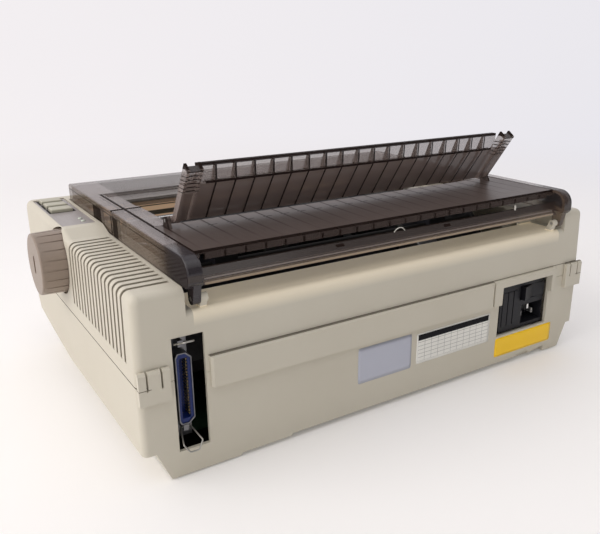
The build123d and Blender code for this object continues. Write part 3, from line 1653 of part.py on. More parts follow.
with BuildPart() as inlet_pins:
    floor_y = inlet_face_y - socket_depth
    for x, z, in ((socket_x - 7.0, socket_z - 2.0), (socket_x + 7.0, socket_z - 2.0)):
        block((x - 1.0, x + 1.0), (floor_y, inlet_face_y - 5), (z - 2.0, z + 2.0))
    block(
        (socket_x - 1.0, socket_x + 1.0),
        (floor_y, inlet_face_y - 4),
        (socket_z + 1.4, socket_z + 5.4),
    )

with BuildPart() as power_rocker:
    half_rocker = rocker_size[0] / 2 - 0.6
    with BuildSketch(Plane.XY.offset(rocker_z - rocker_size[1] / 2)):
        with Locations(Location((rocker_x, inlet_face_y - 4, 0), (0, 0, rocker_tilt))):
            Polygon(
                (-half_rocker, 6.4),
                (0, 3.6),
                (half_rocker, 6.4),
                (half_rocker - 1.2, 0.2),
                (0, -3.2),
                (1.2 - half_rocker, 0.2),
                align=None,
            )
    extrude(amount=rocker_size[1])
    post(rocker_x, inlet_face_y - 4, (rocker_low, rocker_high), rocker_pin[0])

with BuildPart() as fuse_drawer:
    block(
        (fuse_x[0] + 0.3, fuse_x[1] - 0.3),
        (inlet_face_y - 20, inlet_face_y + 0.4),
        (inlet_z[0] + 5.3, inlet_z[1] - 5.3),
    )
    for x in (fuse_x[0] + 6, fuse_x[1] - 6):
        block((x - 0.5, x + 0.5), (inlet_face_y - 0.6, inlet_face_y + 1), inlet_z, Mode.SUBTRACT)

# ---------------------------------------------------------------- electronics
with BuildPart() as main_board:
    block(board_x, board_y, (board_z, board_z + board_thick))
    for x, y in boss_spots:
        post(x, y, (board_z - 1, board_z + 3), boss_r + 0.5, mode=Mode.SUBTRACT)
    top_z = board_z + board_thick
    for n in range(4):
        x = board_x[0] + 30 + n * 34
        block((x, x + 18), (-60, -10), (top_z, top_z + 4))
        block((x + 4, x + 14), (10, 40), (top_z, top_z + 4))
    for n in range(3):
        post(board_x[0] + 14, 20 + n * 24, (top_z, top_z + 20), 8.0)
    block((board_x[1] - 30, board_x[1] - 24), (20, 90), (top_z, top_z + 10))

with BuildPart() as transformer:
    half_x, half_y = (size / 2 for size in transformer_size)
    x, y = transformer_at
    block((x - half_x, x + half_x), (y - half_y, y + half_y), (floor_top_z, pan_z - 4))
    block(
        (x - half_x + 8, x + half_x - 8),
        (y - half_y - 6, y + half_y + 6),
        (floor_top_z + 6, pan_z - 10),
    )

# ---------------------------------------------------------------- writing the pieces
pieces = {
    "lower_case": lower_case,
    "rubber_feet": rubber_feet,
    "upper_case": upper_case,
    "case_screws": case_screws,
    "control_panel": control_panel,
    "select_button": select_button,
    "form_feed_button": form_feed_button,
    "line_feed_button": line_feed_button,
    "panel_lamps": panel_lamps,
    "rear_cover": rear_cover,
    "front_lid": front_lid,
    "rear_panel": rear_panel,
    "paper_guide": paper_guide,
    "hinge_pins": hinge_pins,
    "platen_shaft": platen_shaft,
    "platen_roller": platen_roller,
    "platen_knob": platen_knob,
    "platen_gear": platen_gear,
    "platen_bushes": platen_bushes,
    "mechanism_base": mechanism_base,
    "right_side_frame": right_side_frame,
    "left_side_frame": left_side_frame,
    "mechanism_screws": mechanism_screws,
    "carriage_rod": carriage_rod,
    "carriage": carriage,
    "print_head": print_head,
    "ribbon_cartridge": ribbon_cartridge,
    "motor_pulley": motor_pulley,
    "idler_pulley": idler_pulley,
    "carriage_motor": carriage_motor,
    "carriage_belt": carriage_belt,
    "feed_motor": feed_motor,
    "feed_pinion": feed_pinion,
    "feed_idler_gear": feed_idler_gear,
    "tractor_idler_gear": tractor_idler_gear,
    "tractor_gear": tractor_gear,
    "tractor_shaft": tractor_shaft,
    "support_rod": support_rod,
    "paper_pan": paper_pan,
    "pressure_rollers": pressure_rollers,
    "paper_bail": paper_bail,
    "bail_rollers": bail_rollers,
    "left_tractor": left_tractor,
    "right_tractor": right_tractor,
    "left_sprocket": left_sprocket,
    "right_sprocket": right_sprocket,
    "left_tractor_flap": left_tractor_flap,
    "right_tractor_flap": right_tractor_flap,
    "connector_shell": connector_shell,
    "connector_insulator": connector_insulator,
    "connector_contacts": connector_contacts,
    "lower_bail": lower_bail,
    "upper_bail": upper_bail,
    "power_inlet": power_inlet,
    "inlet_pins": inlet_pins,
    "power_rocker": power_rocker,
    "fuse_drawer": fuse_drawer,
    "main_board": main_board,
    "transformer": transformer,
}
for name, piece in pieces.items():
    piece.part.label = name
    export_step(piece.part, f"parts/{name}.step")
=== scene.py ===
"""The looks of a dot matrix printer: its materials, its thin extra pieces, the light and the camera.

The frame is the printer's own: x to the side with the knob, y to the rear, z up, and it stands on z = 0.
Places and sizes on the printer are in millimetres here, and those of the lights and the room are in metres.
"""
import math

import bmesh
import bpy
from mathutils import Matrix, Vector


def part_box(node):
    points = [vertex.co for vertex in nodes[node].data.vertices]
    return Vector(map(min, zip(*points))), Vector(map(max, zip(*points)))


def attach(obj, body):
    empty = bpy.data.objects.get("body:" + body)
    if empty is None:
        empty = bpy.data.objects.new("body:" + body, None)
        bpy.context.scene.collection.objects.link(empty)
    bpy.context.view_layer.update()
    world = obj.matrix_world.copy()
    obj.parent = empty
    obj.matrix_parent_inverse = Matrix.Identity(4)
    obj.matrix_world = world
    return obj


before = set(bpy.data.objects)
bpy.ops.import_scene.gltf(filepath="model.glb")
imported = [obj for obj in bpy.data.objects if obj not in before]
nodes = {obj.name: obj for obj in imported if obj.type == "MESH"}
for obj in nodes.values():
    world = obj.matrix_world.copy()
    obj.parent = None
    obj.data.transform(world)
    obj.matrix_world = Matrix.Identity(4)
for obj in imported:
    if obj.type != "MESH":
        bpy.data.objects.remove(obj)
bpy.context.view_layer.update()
MM = 0.001


# ---------------------------------------------------------------- shader nodes
def put(tree, socket, value):
    """Sets an input to a plain value, or links another node's output to it."""
    if isinstance(value, bpy.types.NodeSocket):
        tree.links.new(value, socket)
    else:
        socket.default_value = value


def add_node(tree, kind, inputs=None, **settings):
    """A new shader node. Its settings come before its inputs, because they decide which inputs it has."""
    made = tree.nodes.new("ShaderNode" + kind)
    for name, value in settings.items():
        setattr(made, name, value)
    for name, value in (inputs or {}).items():
        put(tree, made.inputs[name], value)
    return made


def number(tree, kind, *values):
    """One math node's result. Each value is a number or another node's output."""
    return add_node(tree, "Math", dict(enumerate(values)), operation=kind).outputs["Value"]


def rescale(tree, value, start, end, low=0.0, high=1.0, kind="LINEAR"):
    """Goes from low to high while a value goes from start to end, and stays there beyond them."""
    inputs = {"Value": value, "From Min": start, "From Max": end, "To Min": low, "To Max": high}
    return add_node(tree, "MapRange", inputs, interpolation_type=kind).outputs["Result"]


def mixed(tree, share, first, second):
    """A colour between two others: the share is the second one's."""
    inputs = {"Factor": share, "A": first, "B": second}
    return add_node(tree, "Mix", inputs, data_type="RGBA").outputs["Result"]


def along(tree, value, direction):
    """How far a vector reaches along a direction."""
    return add_node(tree, "VectorMath", {0: value, 1: direction}, operation="DOT_PRODUCT").outputs["Value"]


# ---------------------------------------------------------------- camera and lights
CAMERA_PLACE = (0.29814, 0.48858, 0.25666)
CAMERA_YAW, CAMERA_PITCH, CAMERA_ROLL = math.radians(32.92), math.radians(-19.21), math.radians(-0.13)
CAMERA_SHIFT = (-0.0300, 0.0192)
SENSOR_WIDTH, FOCAL_LENGTH = 36.0, 41.09
LIGHTS = (
    # name, place, aim, size, watts and colour
    ("window", (1.7, -0.2, 1.15), (0.0, 0.0, 0.05), (1.6, 1.4), 17.2, (1.0, 0.966, 0.925)),
    ("ceiling", (0.0, 0.92, 1.72), (0.0, 0.05, 0.0), (1.8, 1.6), 6.3, (1.0, 0.99, 0.97)),
    ("fill", (0.55, 1.5, 0.60), (0.0, 0.05, 0.08), (1.3, 0.7), 1.9, (1.0, 0.985, 0.955)),
)


def add_object(name, data):
    """A new object in the scene."""
    made = bpy.data.objects.new(name, data)
    bpy.context.scene.collection.objects.link(made)
    return made


def facing(place, ahead, roll=0.0):
    """The matrix of a camera or light that stands at place, looks along ahead, and is turned by roll."""
    turn = Vector(ahead).to_track_quat("-Z", "Y").to_matrix().to_4x4()
    return Matrix.Translation(place) @ turn @ Matrix.Rotation(roll, 4, "Z")


level = math.cos(CAMERA_PITCH)
ahead = (-math.sin(CAMERA_YAW) * level, -math.cos(CAMERA_YAW) * level, math.sin(CAMERA_PITCH))
camera = add_object("camera", bpy.data.cameras.new("camera"))
camera.matrix_world = facing(CAMERA_PLACE, ahead, CAMERA_ROLL)
camera.data.sensor_width = SENSOR_WIDTH
camera.data.lens = FOCAL_LENGTH
camera.data.shift_x, camera.data.shift_y = CAMERA_SHIFT
camera.data.clip_start = 0.01
camera.data.dof.use_dof = False
bpy.context.scene.camera = camera
bpy.context.scene.view_settings.view_transform = "Standard"

for name, place, aim, size, watts, colour in LIGHTS:
    light = add_object(name, bpy.data.lights.new(name, "AREA"))
    light.matrix_world = facing(place, Vector(aim) - Vector(place))
    light.data.shape = "RECTANGLE"
    light.data.size, light.data.size_y = size
    light.data.energy = watts
    light.data.color = colour


# ---------------------------------------------------------------- room
TOWARDS_WALL = (0.45, -0.86, 0.25)
WALL_EDGE = (-0.55, 0.05)           # where the light wall begins along that direction, and where it is full
RIGHTWARD = (-0.84, 0.54, 0.0)
WALL_REACH = 0.65                   # how far to each side the wall's colour goes on changing
WALL_LEFT = (0.92, 0.88, 0.89, 1.0)
WALL_RIGHT = (0.80, 0.79, 0.84, 1.0)
DIM_ROOM = (0.10, 0.10, 0.10, 1.0)


def wall_colour(tree, side):
    """The wall's colour, for a direction that reaches so far to the right."""
    return mixed(tree, rescale(tree, side, -WALL_REACH, WALL_REACH), WALL_LEFT, WALL_RIGHT)


world = bpy.data.worlds.new("studio")
bpy.context.scene.world = world
world.use_nodes = True
tree = world.node_tree
tree.nodes.clear()
way = add_node(tree, "TexCoord").outputs["Generated"]
lit = rescale(tree, along(tree, way, TOWARDS_WALL), *WALL_EDGE, kind="SMOOTHSTEP")
room = mixed(tree, lit, DIM_ROOM, wall_colour(tree, along(tree, way, RIGHTWARD)))
backdrop = add_node(tree, "Background", {"Color": room})
add_node(tree, "OutputWorld", {"Surface": backdrop.outputs["Background"]})


# ---------------------------------------------------------------- how a material is made
BLOTCH_RANGE = (0.36, 0.66)         # the part of the slow noise that goes from one tone to the other
MIN_ROUGHNESS = 0.03
GRAIN_DEPTH = 0.4 * MM
NO_GLOSS = 1.03                     # an index of refraction so low that the surface hardly reflects


def plastic(name, base, second, rough=0.45, metallic=0.0, blotch=14.0, mix=0.5, grain=900.0, bump=0.06,
            rough_spread=0.08, alpha=1.0, coat=0.0, specular=0.5, stretch=None):
    """A procedural material: two tones blended by slow noise, uneven roughness and a fine surface grain."""
    mat = bpy.data.materials.new(name)
    mat.use_nodes = True
    tree = mat.node_tree
    place = add_node(tree, "TexCoord").outputs["Object"]
    if stretch:
        place = add_node(tree, "Mapping", {"Vector": place, "Scale": stretch}).outputs["Vector"]
    slow = add_node(tree, "TexNoise", {"Vector": place, "Scale": blotch, "Detail": 4.0, "Roughness": 0.55})
    fine = add_node(tree, "TexNoise", {"Vector": place, "Scale": grain, "Detail": 2.0}).outputs["Fac"]
    spread = rescale(tree, slow.outputs["Fac"], *BLOTCH_RANGE, high=mix)
    relief = add_node(tree, "Bump", {"Height": fine, "Strength": bump, "Distance": GRAIN_DEPTH})
    smoothest = max(rough - rough_spread, MIN_ROUGHNESS)
    inputs = {
        "Base Color": mixed(tree, spread, (*base, 1.0), (*second, 1.0)),
        "Roughness": rescale(tree, fine, 0.0, 1.0, smoothest, rough + rough_spread),
        "Normal": relief.outputs["Normal"],
        "Metallic": metallic,
        "Alpha": alpha,
        "Coat Weight": coat,
        "Specular IOR Level": specular,
    }
    for socket, value in inputs.items():
        put(tree, shader_of(mat).inputs[socket], value)
    return mat


def shader_of(mat):
    """The node that a material's looks go into."""
    return mat.node_tree.nodes["Principled BSDF"]


def given(socket):
    """What an input has so far: another node's output or a plain value."""
    return socket.links[0].from_socket if socket.links else socket.default_value


def mask_of(tree, pattern):
    """A pattern(tree, x, y, z) on the material's own surface, whose coordinates are in metres."""
    place = add_node(tree, "TexCoord").outputs["Object"]
    return pattern(tree, *add_node(tree, "SeparateXYZ", {"Vector": place}).outputs)


def paint(mat, pattern, colour, alpha=None, dull=True):
    """Mixes another colour into a plastic where a pattern is 1, and may change opacity and gloss there."""
    tree, inputs = mat.node_tree, shader_of(mat).inputs
    mask = mask_of(tree, pattern)
    put(tree, inputs["Base Color"], mixed(tree, mask, given(inputs["Base Color"]), (*colour, 1.0)))
    for name, value in (("IOR", NO_GLOSS if dull else None), ("Alpha", alpha)):
        if value is not None:
            before = given(inputs[name])
            step = number(tree, "SUBTRACT", value, before)
            put(tree, inputs[name], number(tree, "MULTIPLY_ADD", mask, step, before))


def glow(mat, pattern, colour, strength):
    """A weak glow where a pattern is 1."""
    tree, inputs = mat.node_tree, shader_of(mat).inputs
    inputs["Emission Color"].default_value = (*colour, 1.0)
    put(tree, inputs["Emission Strength"], number(tree, "MULTIPLY", mask_of(tree, pattern), strength))


def light_through(mat, share):
    """Lets more light through a clear plastic than its opacity would, as tinted plastic does."""
    tree, clear = mat.node_tree, shader_of(mat).inputs["Alpha"]
    shadow = add_node(tree, "LightPath").outputs["Is Shadow Ray"]
    less = number(tree, "MULTIPLY_ADD", shadow, -share, 1.0)
    put(tree, clear, number(tree, "MULTIPLY", given(clear), less))


# ---------------------------------------------------------------- masks, with their limits in millimetres
def within(tree, value, low, high):
    """1 where a coordinate lies between two limits, else 0."""
    low, high = low * MM, high * MM
    return number(tree, "COMPARE", value, (low + high) / 2, (high - low) / 2)


def above(tree, value, limit):
    """1 where a coordinate is over a limit, else 0."""
    return number(tree, "GREATER_THAN", value, limit * MM)


def below(tree, value, limit):
    """1 where a coordinate is under a limit, else 0."""
    return number(tree, "LESS_THAN", value, limit * MM)


def among(tree, value, *ranges):
    """1 where a coordinate lies in any of several ranges, else 0."""
    return either(tree, *(within(tree, value, *ends) for ends in ranges))


def beyond(tree, value, low, high):
    """1 where a coordinate lies outside two limits, else 0."""
    return either(tree, above(tree, value, high), below(tree, value, low))


def stripes(tree, value, pitch, width, start=0.0):
    """1 on thin bands that repeat along a coordinate, one of them round start, else 0."""
    turns = number(tree, "MULTIPLY_ADD", value, 1.0 / (pitch * MM), 0.5 - start / pitch)
    return number(tree, "COMPARE", number(tree, "FRACT", turns), 0.5, width / pitch / 2)


def fade(tree, value, start, end, low=0.0, high=1.0):
    """Goes from low to high between two limits of a coordinate."""
    return rescale(tree, value, start * MM, end * MM, low, high)


def combine(tree, kind, masks):
    """Several masks in one, two at a time."""
    total, *others = masks
    for mask in others:
        total = number(tree, kind, total, mask)
    return total


def either(tree, *masks):
    """Where any of the masks is."""
    return combine(tree, "MAXIMUM", masks)


def all_of(tree, *masks):
    """Where all of the masks are. A plain number among them makes the whole weaker."""
    return combine(tree, "MULTIPLY", masks)


# ---------------------------------------------------------------- patterns of the smoked covers
RAILS = (150.9, 153.1), (-162.5, -160.3)                    # x of the seams along the covers' sides
KNOB_SIDE, FAR_SIDE = 150.0, -168.9                         # the cover's rounded ends lie beyond these x
HINGE_SEAM = (2.4, 6.2)                                     # y
WINDOW_FRONT = (-55.9, -54.2)                               # y of the front edge of the lid's window
RAIL_TOP_END = 108.0                                        # y
INNER_RIBS = (-43.0, -22.0), (1.8, 4.2), (6.5, 17.5)        # y, seen through the covers' sides
BEAM_FRONT, BEAM_ENDS = 122.0, (-157.0, 149.0)              # y and x of the beam along the cover's rear
BEAM_FOOT_Z, BEAM_HIGHLIGHT_Z, BEAM_TOP_Z = 123.4, (124.9, 125.7), (126.6, 131.0)
BEAM_HOLES = (47.0, 53.5), (-48.0, -41.5)                   # x
PANEL_REAR = 129.6                                          # y
RIB_PITCH = 13.9                                            # of the ribs of the rear panel and the guide
RIB_START = RIB_PITCH / 2
RUNG_PITCH = 2.655                                          # of the rungs of the guide's ends
GUIDE_BEND_Z, GUIDE_TOP_Z = 172.7, 184.8


def rail_tops(tree, x, y, z):
    """The covers' upper faces along the sides, which the light catches."""
    return all_of(tree, beyond(tree, x, -150.0, 140.0), above(tree, z, 138.6), below(tree, y, RAIL_TOP_END))


def rear_end_shade(tree, x, y, z):
    """Painted shade on the rounded rear ends of the cover's sides, which are the darkest to look into."""
    return all_of(tree, beyond(tree, x, FAR_SIDE, KNOB_SIDE), fade(tree, y, 106.0, 119.0, high=0.9))


def beam_top_shade(tree, x, y, z):
    """Painted shade on the upper half of the rear beam, which is darker to look into than its lower edge."""
    return all_of(tree, above(tree, y, BEAM_FRONT), within(tree, z, *BEAM_TOP_Z))


def beam_foot(tree, x, y, z):
    """The thin lower edge of the rear beam, which the case behind it lights up."""
    return all_of(tree, within(tree, x, *BEAM_ENDS), above(tree, y, BEAM_FRONT), below(tree, z, BEAM_FOOT_Z))


def beam_highlight(tree, x, y, z):
    """A painted highlight: a thin light line along the middle of the rear beam."""
    beam = all_of(tree, within(tree, x, *BEAM_ENDS), above(tree, y, BEAM_FRONT))
    return all_of(tree, beam, within(tree, z, *BEAM_HIGHLIGHT_Z), 0.7)


def beam_marks(tree, x, y, z):
    """Two small dark holes in the rear beam."""
    return all_of(tree, among(tree, x, *BEAM_HOLES), above(tree, y, 128.5), within(tree, z, 127.9, 129.5))


def cover_lines(tree, x, y, z):
    """Dark edges where the covers meet: along the rails, across the hinge and along the lid's window."""
    rails = all_of(tree, among(tree, x, *RAILS), above(tree, y, -55.6))
    front = all_of(tree, within(tree, y, *WINDOW_FRONT), within(tree, x, -161.0, 151.0))
    return all_of(tree, above(tree, z, 138.4), either(tree, rails, within(tree, y, *HINGE_SEAM), front))


def side_rear_shade(tree, x, y, z):
    """Painted shade on the rear of the covers' sides, which darkens towards the rounded end."""
    return all_of(tree, fade(tree, y, 84.0, 112.0, high=0.85), above(tree, x, KNOB_SIDE))


def side_bars_and_shadow(tree, x, y, z):
    """The ends of the inner ribs, seen through the covers' sides, a dark line along the sides' upper edge,
    and a painted shadow along the lid's lower edge, where it meets the case.
    """
    bars = all_of(tree, among(tree, y, *INNER_RIBS), below(tree, z, 136.9))
    top = all_of(tree, within(tree, z, 136.6, 137.7), below(tree, y, 112.0), 0.8)
    # painted shadow: a dark line along the lid's lower edge, where it meets the case
    foot = all_of(tree, below(tree, z, 124.3), below(tree, y, 4.4), 0.8)
    return either(tree, bars, top, foot)


def panel_lines_and_shadows(tree, x, y, z):
    """The ribs under the rear panel, seen through it as lines that fade to the rear, its dark edges, and
    painted shadows of the guide's ribs where they stand on it.
    """
    ribs = stripes(tree, x, RIB_PITCH, 1.6, RIB_START)
    lines = all_of(tree, ribs, fade(tree, y, 78.0, 122.0, 0.75, 0.12))
    ticks = all_of(tree, ribs, below(tree, z, 138.9))
    sides = beyond(tree, x, -160.9, 151.5)
    rear = above(tree, y, PANEL_REAR)
    edge = either(tree, all_of(tree, rear, above(tree, z, 139.4)), all_of(tree, rear, 0.55))
    wide = stripes(tree, x, RIB_PITCH, 7.0, RIB_START - 1.5)
    short = stripes(tree, x, RIB_PITCH, 3.0, RIB_START + 0.5)
    # painted shadows of the guide's ribs where they stand on the panel
    feet = all_of(tree, wide, within(tree, y, 78.6, 80.4), 0.7)
    tips = all_of(tree, short, within(tree, y, 82.6, 84.0), 0.5)
    feet = all_of(tree, either(tree, feet, tips), within(tree, x, -128.0, 128.0))
    return either(tree, lines, ticks, sides, edge, feet)


def guide_foot(tree, x, y, z):
    """The part of the guide under its bend, where it is thicker and darker to look through."""
    return below(tree, z, GUIDE_BEND_Z)


def guide_lines(tree, x, y, z):
    """The guide's ribs, bend and upper edge, and the rungs of its ends."""
    ribs = stripes(tree, x, RIB_PITCH, 1.25, RIB_START)
    bend = within(tree, z, GUIDE_BEND_Z - 0.9, GUIDE_BEND_Z + 0.6)
    middle = all_of(tree, either(tree, ribs, bend), within(tree, x, -126.0, 126.0))
    top = within(tree, z, GUIDE_TOP_Z - 1.9, GUIDE_TOP_Z + 4.0)
    rungs = all_of(tree, stripes(tree, z, RUNG_PITCH, 0.5, 178.0), within(tree, z, 166.8, 179.0))
    return either(tree, middle, top, all_of(tree, rungs, beyond(tree, x, -130.4, 130.4)))


# ---------------------------------------------------------------- patterns of the case and what is on it
BUTTONS = ("select_button", "form_feed_button", "line_feed_button")
FILM_GAP = (1.3, 1.1)               # how far the gaps reach past the buttons, in x and y
GROOVE_PITCH, GROOVE_START, GROOVE_WIDTH = 7.6, 7.2, 3.7
FRONT_STEPS = (108.4, 112.2), (103.0, 107.4), (93.5, 98.6)              # z
RULE = 0.35
SIDE_MARGIN, FOOT_MARGIN, HEAD_MARGIN = 0.02, 0.08, 0.05                # as shares of a ruled plate


def case_lines(tree, x, y, z):
    """The shadowed joint between the two halves of the case, and the upper edge of its rear band."""
    joint = all_of(tree, beyond(tree, x, -188.0, 188.0), within(tree, z, 66.75, 67.35))
    band = all_of(tree, above(tree, y, 138.5), within(tree, z, 77.5, 78.15), within(tree, x, -200.0, 150.5))
    return all_of(tree, either(tree, joint, band), 0.8)


def bay_inside(tree, x, y, z):
    """The inside of the case round the connector, which no light reaches."""
    floor_plan = all_of(tree, within(tree, x, 116.0, 176.0), within(tree, y, 40.0, 136.8))
    return all_of(tree, floor_plan, within(tree, z, 3.0, 96.0))


def rear_ledge_light(tree, x, y, z):
    """Painted light on the case's ledge under the cover's rear beam: lighter where the beam shades it, and
    warmer, as it looks through the smoked plastic.
    """
    place = all_of(tree, within(tree, x, -166.0, 158.0), above(tree, y, 100.0), below(tree, z, 109.0))
    return all_of(tree, place, fade(tree, z, 98.0, 107.0))


def ledge_top(tree, x, y, z):
    """The flat of that ledge, where light gathers under the beam."""
    return all_of(tree, rear_ledge_light(tree, x, y, z), fade(tree, y, 138.0, 130.0))


def front_inside(tree, x, y, z):
    """The steps inside the case's front, seen in the light that comes through the lid."""
    return all_of(tree, within(tree, x, -150.0, 150.0), among(tree, z, *FRONT_STEPS))


def groove_lip_shade(tree, x, y, z):
    """Painted shade along the rounded edges of the vent grooves, darker than the ribs between them."""
    place = all_of(tree, above(tree, x, 165.4), within(tree, y, 5.0, 123.2), above(tree, z, 77.3))
    return all_of(tree, stripes(tree, y, GROOVE_PITCH, GROOVE_WIDTH, GROOVE_START), place, 0.8)


def film_gaps(tree, x, y, z):
    """The dark gaps round the buttons."""
    gaps = []
    for name in BUTTONS:
        low, high = (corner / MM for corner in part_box(name))
        across = within(tree, x, low.x - FILM_GAP[0], high.x + FILM_GAP[0])
        deep = within(tree, y, low.y - FILM_GAP[1], high.y + FILM_GAP[1])
        gaps.append(all_of(tree, across, deep))
    return either(tree, *gaps)


def ruled(rows, columns, low, high, head):
    """A pattern of rules between two corners (x, z), under a dark band: a plain table with nothing in it."""
    width, height = high[0] - low[0], high[1] - low[1]
    left, right = low[0] + SIDE_MARGIN * width, high[0] - SIDE_MARGIN * width
    foot, top = low[1] + FOOT_MARGIN * height, high[1] - HEAD_MARGIN * height

    def lines(tree, x, y, z):
        across = stripes(tree, z, (top - foot) / rows, RULE, foot)
        down = stripes(tree, x, (right - left) / columns, RULE, left)
        grid = all_of(tree, either(tree, across, down), 0.55)
        band = within(tree, z, high[1] - head * height, top)
        inner = all_of(tree, within(tree, x, left, right), within(tree, z, foot, top))
        return all_of(tree, either(tree, grid, band), inner)

    return lines


# ---------------------------------------------------------------- materials
CASE_TONES = (0.565, 0.528, 0.438), (0.53, 0.488, 0.395)
# the dark of the smoked plastic's seams, edges and holes, and of the painted rib shadows on the rear panel
SMOKE_EDGE_AND_SHADOW = (0.020, 0.013, 0.011)
SMOKED_SHARE = 0.7                  # of the light that smoked plastic would stop, what comes through it
CLEAR_GRAIN = dict(grain=420.0, rough_spread=0.05)
FINE_GRAIN = dict(grain=1200.0, bump=0.02, rough_spread=0.04)
PLATED_GRAIN = dict(blotch=160.0, mix=0.8, grain=500.0, bump=0.03)

smoked_mat = plastic("smoked_plastic", (0.062, 0.043, 0.036), (0.088, 0.063, 0.053), rough=0.2, alpha=0.50,
                     blotch=22.0, bump=0.03, **CLEAR_GRAIN)
paint(smoked_mat, rail_tops, (0.225, 0.188, 0.180), 0.62, dull=False)
paint(smoked_mat, rear_end_shade, (0.026, 0.023, 0.028), 0.93, dull=False)
paint(smoked_mat, beam_top_shade, (0.040, 0.028, 0.023), 0.86, dull=False)
paint(smoked_mat, beam_foot, (0.300, 0.225, 0.150), 0.93, dull=False)
paint(smoked_mat, beam_highlight, (0.300, 0.250, 0.220), 0.80, dull=False)
paint(smoked_mat, cover_lines, SMOKE_EDGE_AND_SHADOW, 0.95)
paint(smoked_mat, beam_marks, SMOKE_EDGE_AND_SHADOW, 0.97)

# the covers' upright sides take their own copy of the smoked plastic, in a warmer amber: painted light for
# the amber glints where light shows through them
smoked_side_mat = plastic("smoked_side", (0.120, 0.080, 0.052), (0.170, 0.116, 0.080), rough=0.16, alpha=0.50,
                          blotch=16.0, bump=0.03, **CLEAR_GRAIN)
paint(smoked_side_mat, side_rear_shade, (0.026, 0.019, 0.017), 0.90)
paint(smoked_side_mat, rear_end_shade, (0.018, 0.014, 0.016), 0.95, dull=False)
paint(smoked_side_mat, side_bars_and_shadow, (0.016, 0.011, 0.008), 0.94)

window_mat = plastic("smoked_panel", (0.088, 0.066, 0.058), (0.112, 0.086, 0.077), rough=0.34, alpha=0.86,
                     specular=0.2, blotch=26.0, bump=0.04, stretch=(1.0, 0.25, 1.0), **CLEAR_GRAIN)
paint(window_mat, panel_lines_and_shadows, SMOKE_EDGE_AND_SHADOW)

guide_mat = plastic("smoked_guide", (0.190, 0.142, 0.122), (0.220, 0.166, 0.146), rough=0.25, alpha=0.42,
                    blotch=22.0, grain=420.0, bump=0.01, rough_spread=0.02)
paint(guide_mat, guide_foot, (0.200, 0.155, 0.138), 0.78, dull=False)
paint(guide_mat, guide_lines, SMOKE_EDGE_AND_SHADOW, 0.95)
cap_mat = plastic("smoked_cap", (0.035, 0.026, 0.023), (0.05, 0.038, 0.034), rough=0.25, alpha=0.9,
                  blotch=30.0)

for mat in (smoked_mat, smoked_side_mat, guide_mat):
    light_through(mat, SMOKED_SHARE)

case_mat = plastic("case_plastic", *CASE_TONES, rough=0.5, bump=0.12)
paint(case_mat, bay_inside, (0.012, 0.011, 0.010))
# painted light on the ledge under the rear beam, and a weak painted glow on its flat
paint(case_mat, rear_ledge_light, (0.880, 0.790, 0.610), dull=False)
glow(case_mat, ledge_top, (0.72, 0.60, 0.42), 0.16)
paint(case_mat, case_lines, (0.10, 0.085, 0.065))
# the upper case's copy of the case plastic, with painted shade along its vent grooves
vent_mat = case_mat.copy()
vent_mat.name = "vent_plastic"
paint(vent_mat, groove_lip_shade, (0.27, 0.235, 0.180), dull=False)
# painted shade: the vent grooves' side walls take much darker tones than the case
groove_shade_mat = plastic("groove_shade_plastic", (0.30, 0.27, 0.215), (0.26, 0.235, 0.185), rough=0.6, bump=0.1)
# painted light: the case's inner front steps are painted lighter and warmer, with a weak glow, for the light
# that comes through the lid
inner_mat = plastic("case_inside", *CASE_TONES, rough=0.55, bump=0.12)
paint(inner_mat, front_inside, (0.700, 0.480, 0.300), dull=False)
glow(inner_mat, front_inside, (0.62, 0.42, 0.27), 0.45)

knob_mat = plastic("knob_plastic", (0.275, 0.217, 0.173), (0.24, 0.187, 0.147), rough=0.42, bump=0.1)
button_mat = plastic("button_plastic", (0.45, 0.43, 0.34), (0.40, 0.38, 0.30), rough=0.45, bump=0.08)
panel_mat = plastic("panel_film", (0.34, 0.31, 0.30), (0.30, 0.27, 0.265), rough=0.34, metallic=0.25,
                    grain=700.0, stretch=(1.0, 0.12, 1.0), bump=0.05)
paint(panel_mat, film_gaps, (0.012, 0.011, 0.011))
lamp_mat = plastic("lamp_lens", (0.55, 0.60, 0.50), (0.45, 0.50, 0.42), rough=0.12, coat=0.5)
black_mat = plastic("black_plastic", (0.010, 0.010, 0.013), (0.018, 0.018, 0.022), rough=0.45, bump=0.1,
                    specular=0.3)
grey_mat = plastic("grey_plastic", (0.10, 0.10, 0.105), (0.075, 0.075, 0.08), rough=0.42, bump=0.08)
white_mat = plastic("white_plastic", (0.68, 0.66, 0.60), (0.60, 0.57, 0.50), rough=0.4, bump=0.06)
blue_mat = plastic("connector_blue", (0.006, 0.017, 0.105), (0.010, 0.026, 0.140), rough=0.35, bump=0.05,
                   specular=0.3)
rubber_mat = plastic("roller_rubber", (0.022, 0.022, 0.024), (0.035, 0.034, 0.034), rough=0.62, grain=1500.0,
                     bump=0.1)
foot_mat = plastic("foot_rubber", (0.03, 0.03, 0.03), (0.05, 0.048, 0.045), rough=0.75, grain=1200.0,
                   bump=0.12)
belt_mat = plastic("belt_rubber", (0.02, 0.02, 0.02), (0.035, 0.033, 0.03), rough=0.7, grain=1500.0, bump=0.1)

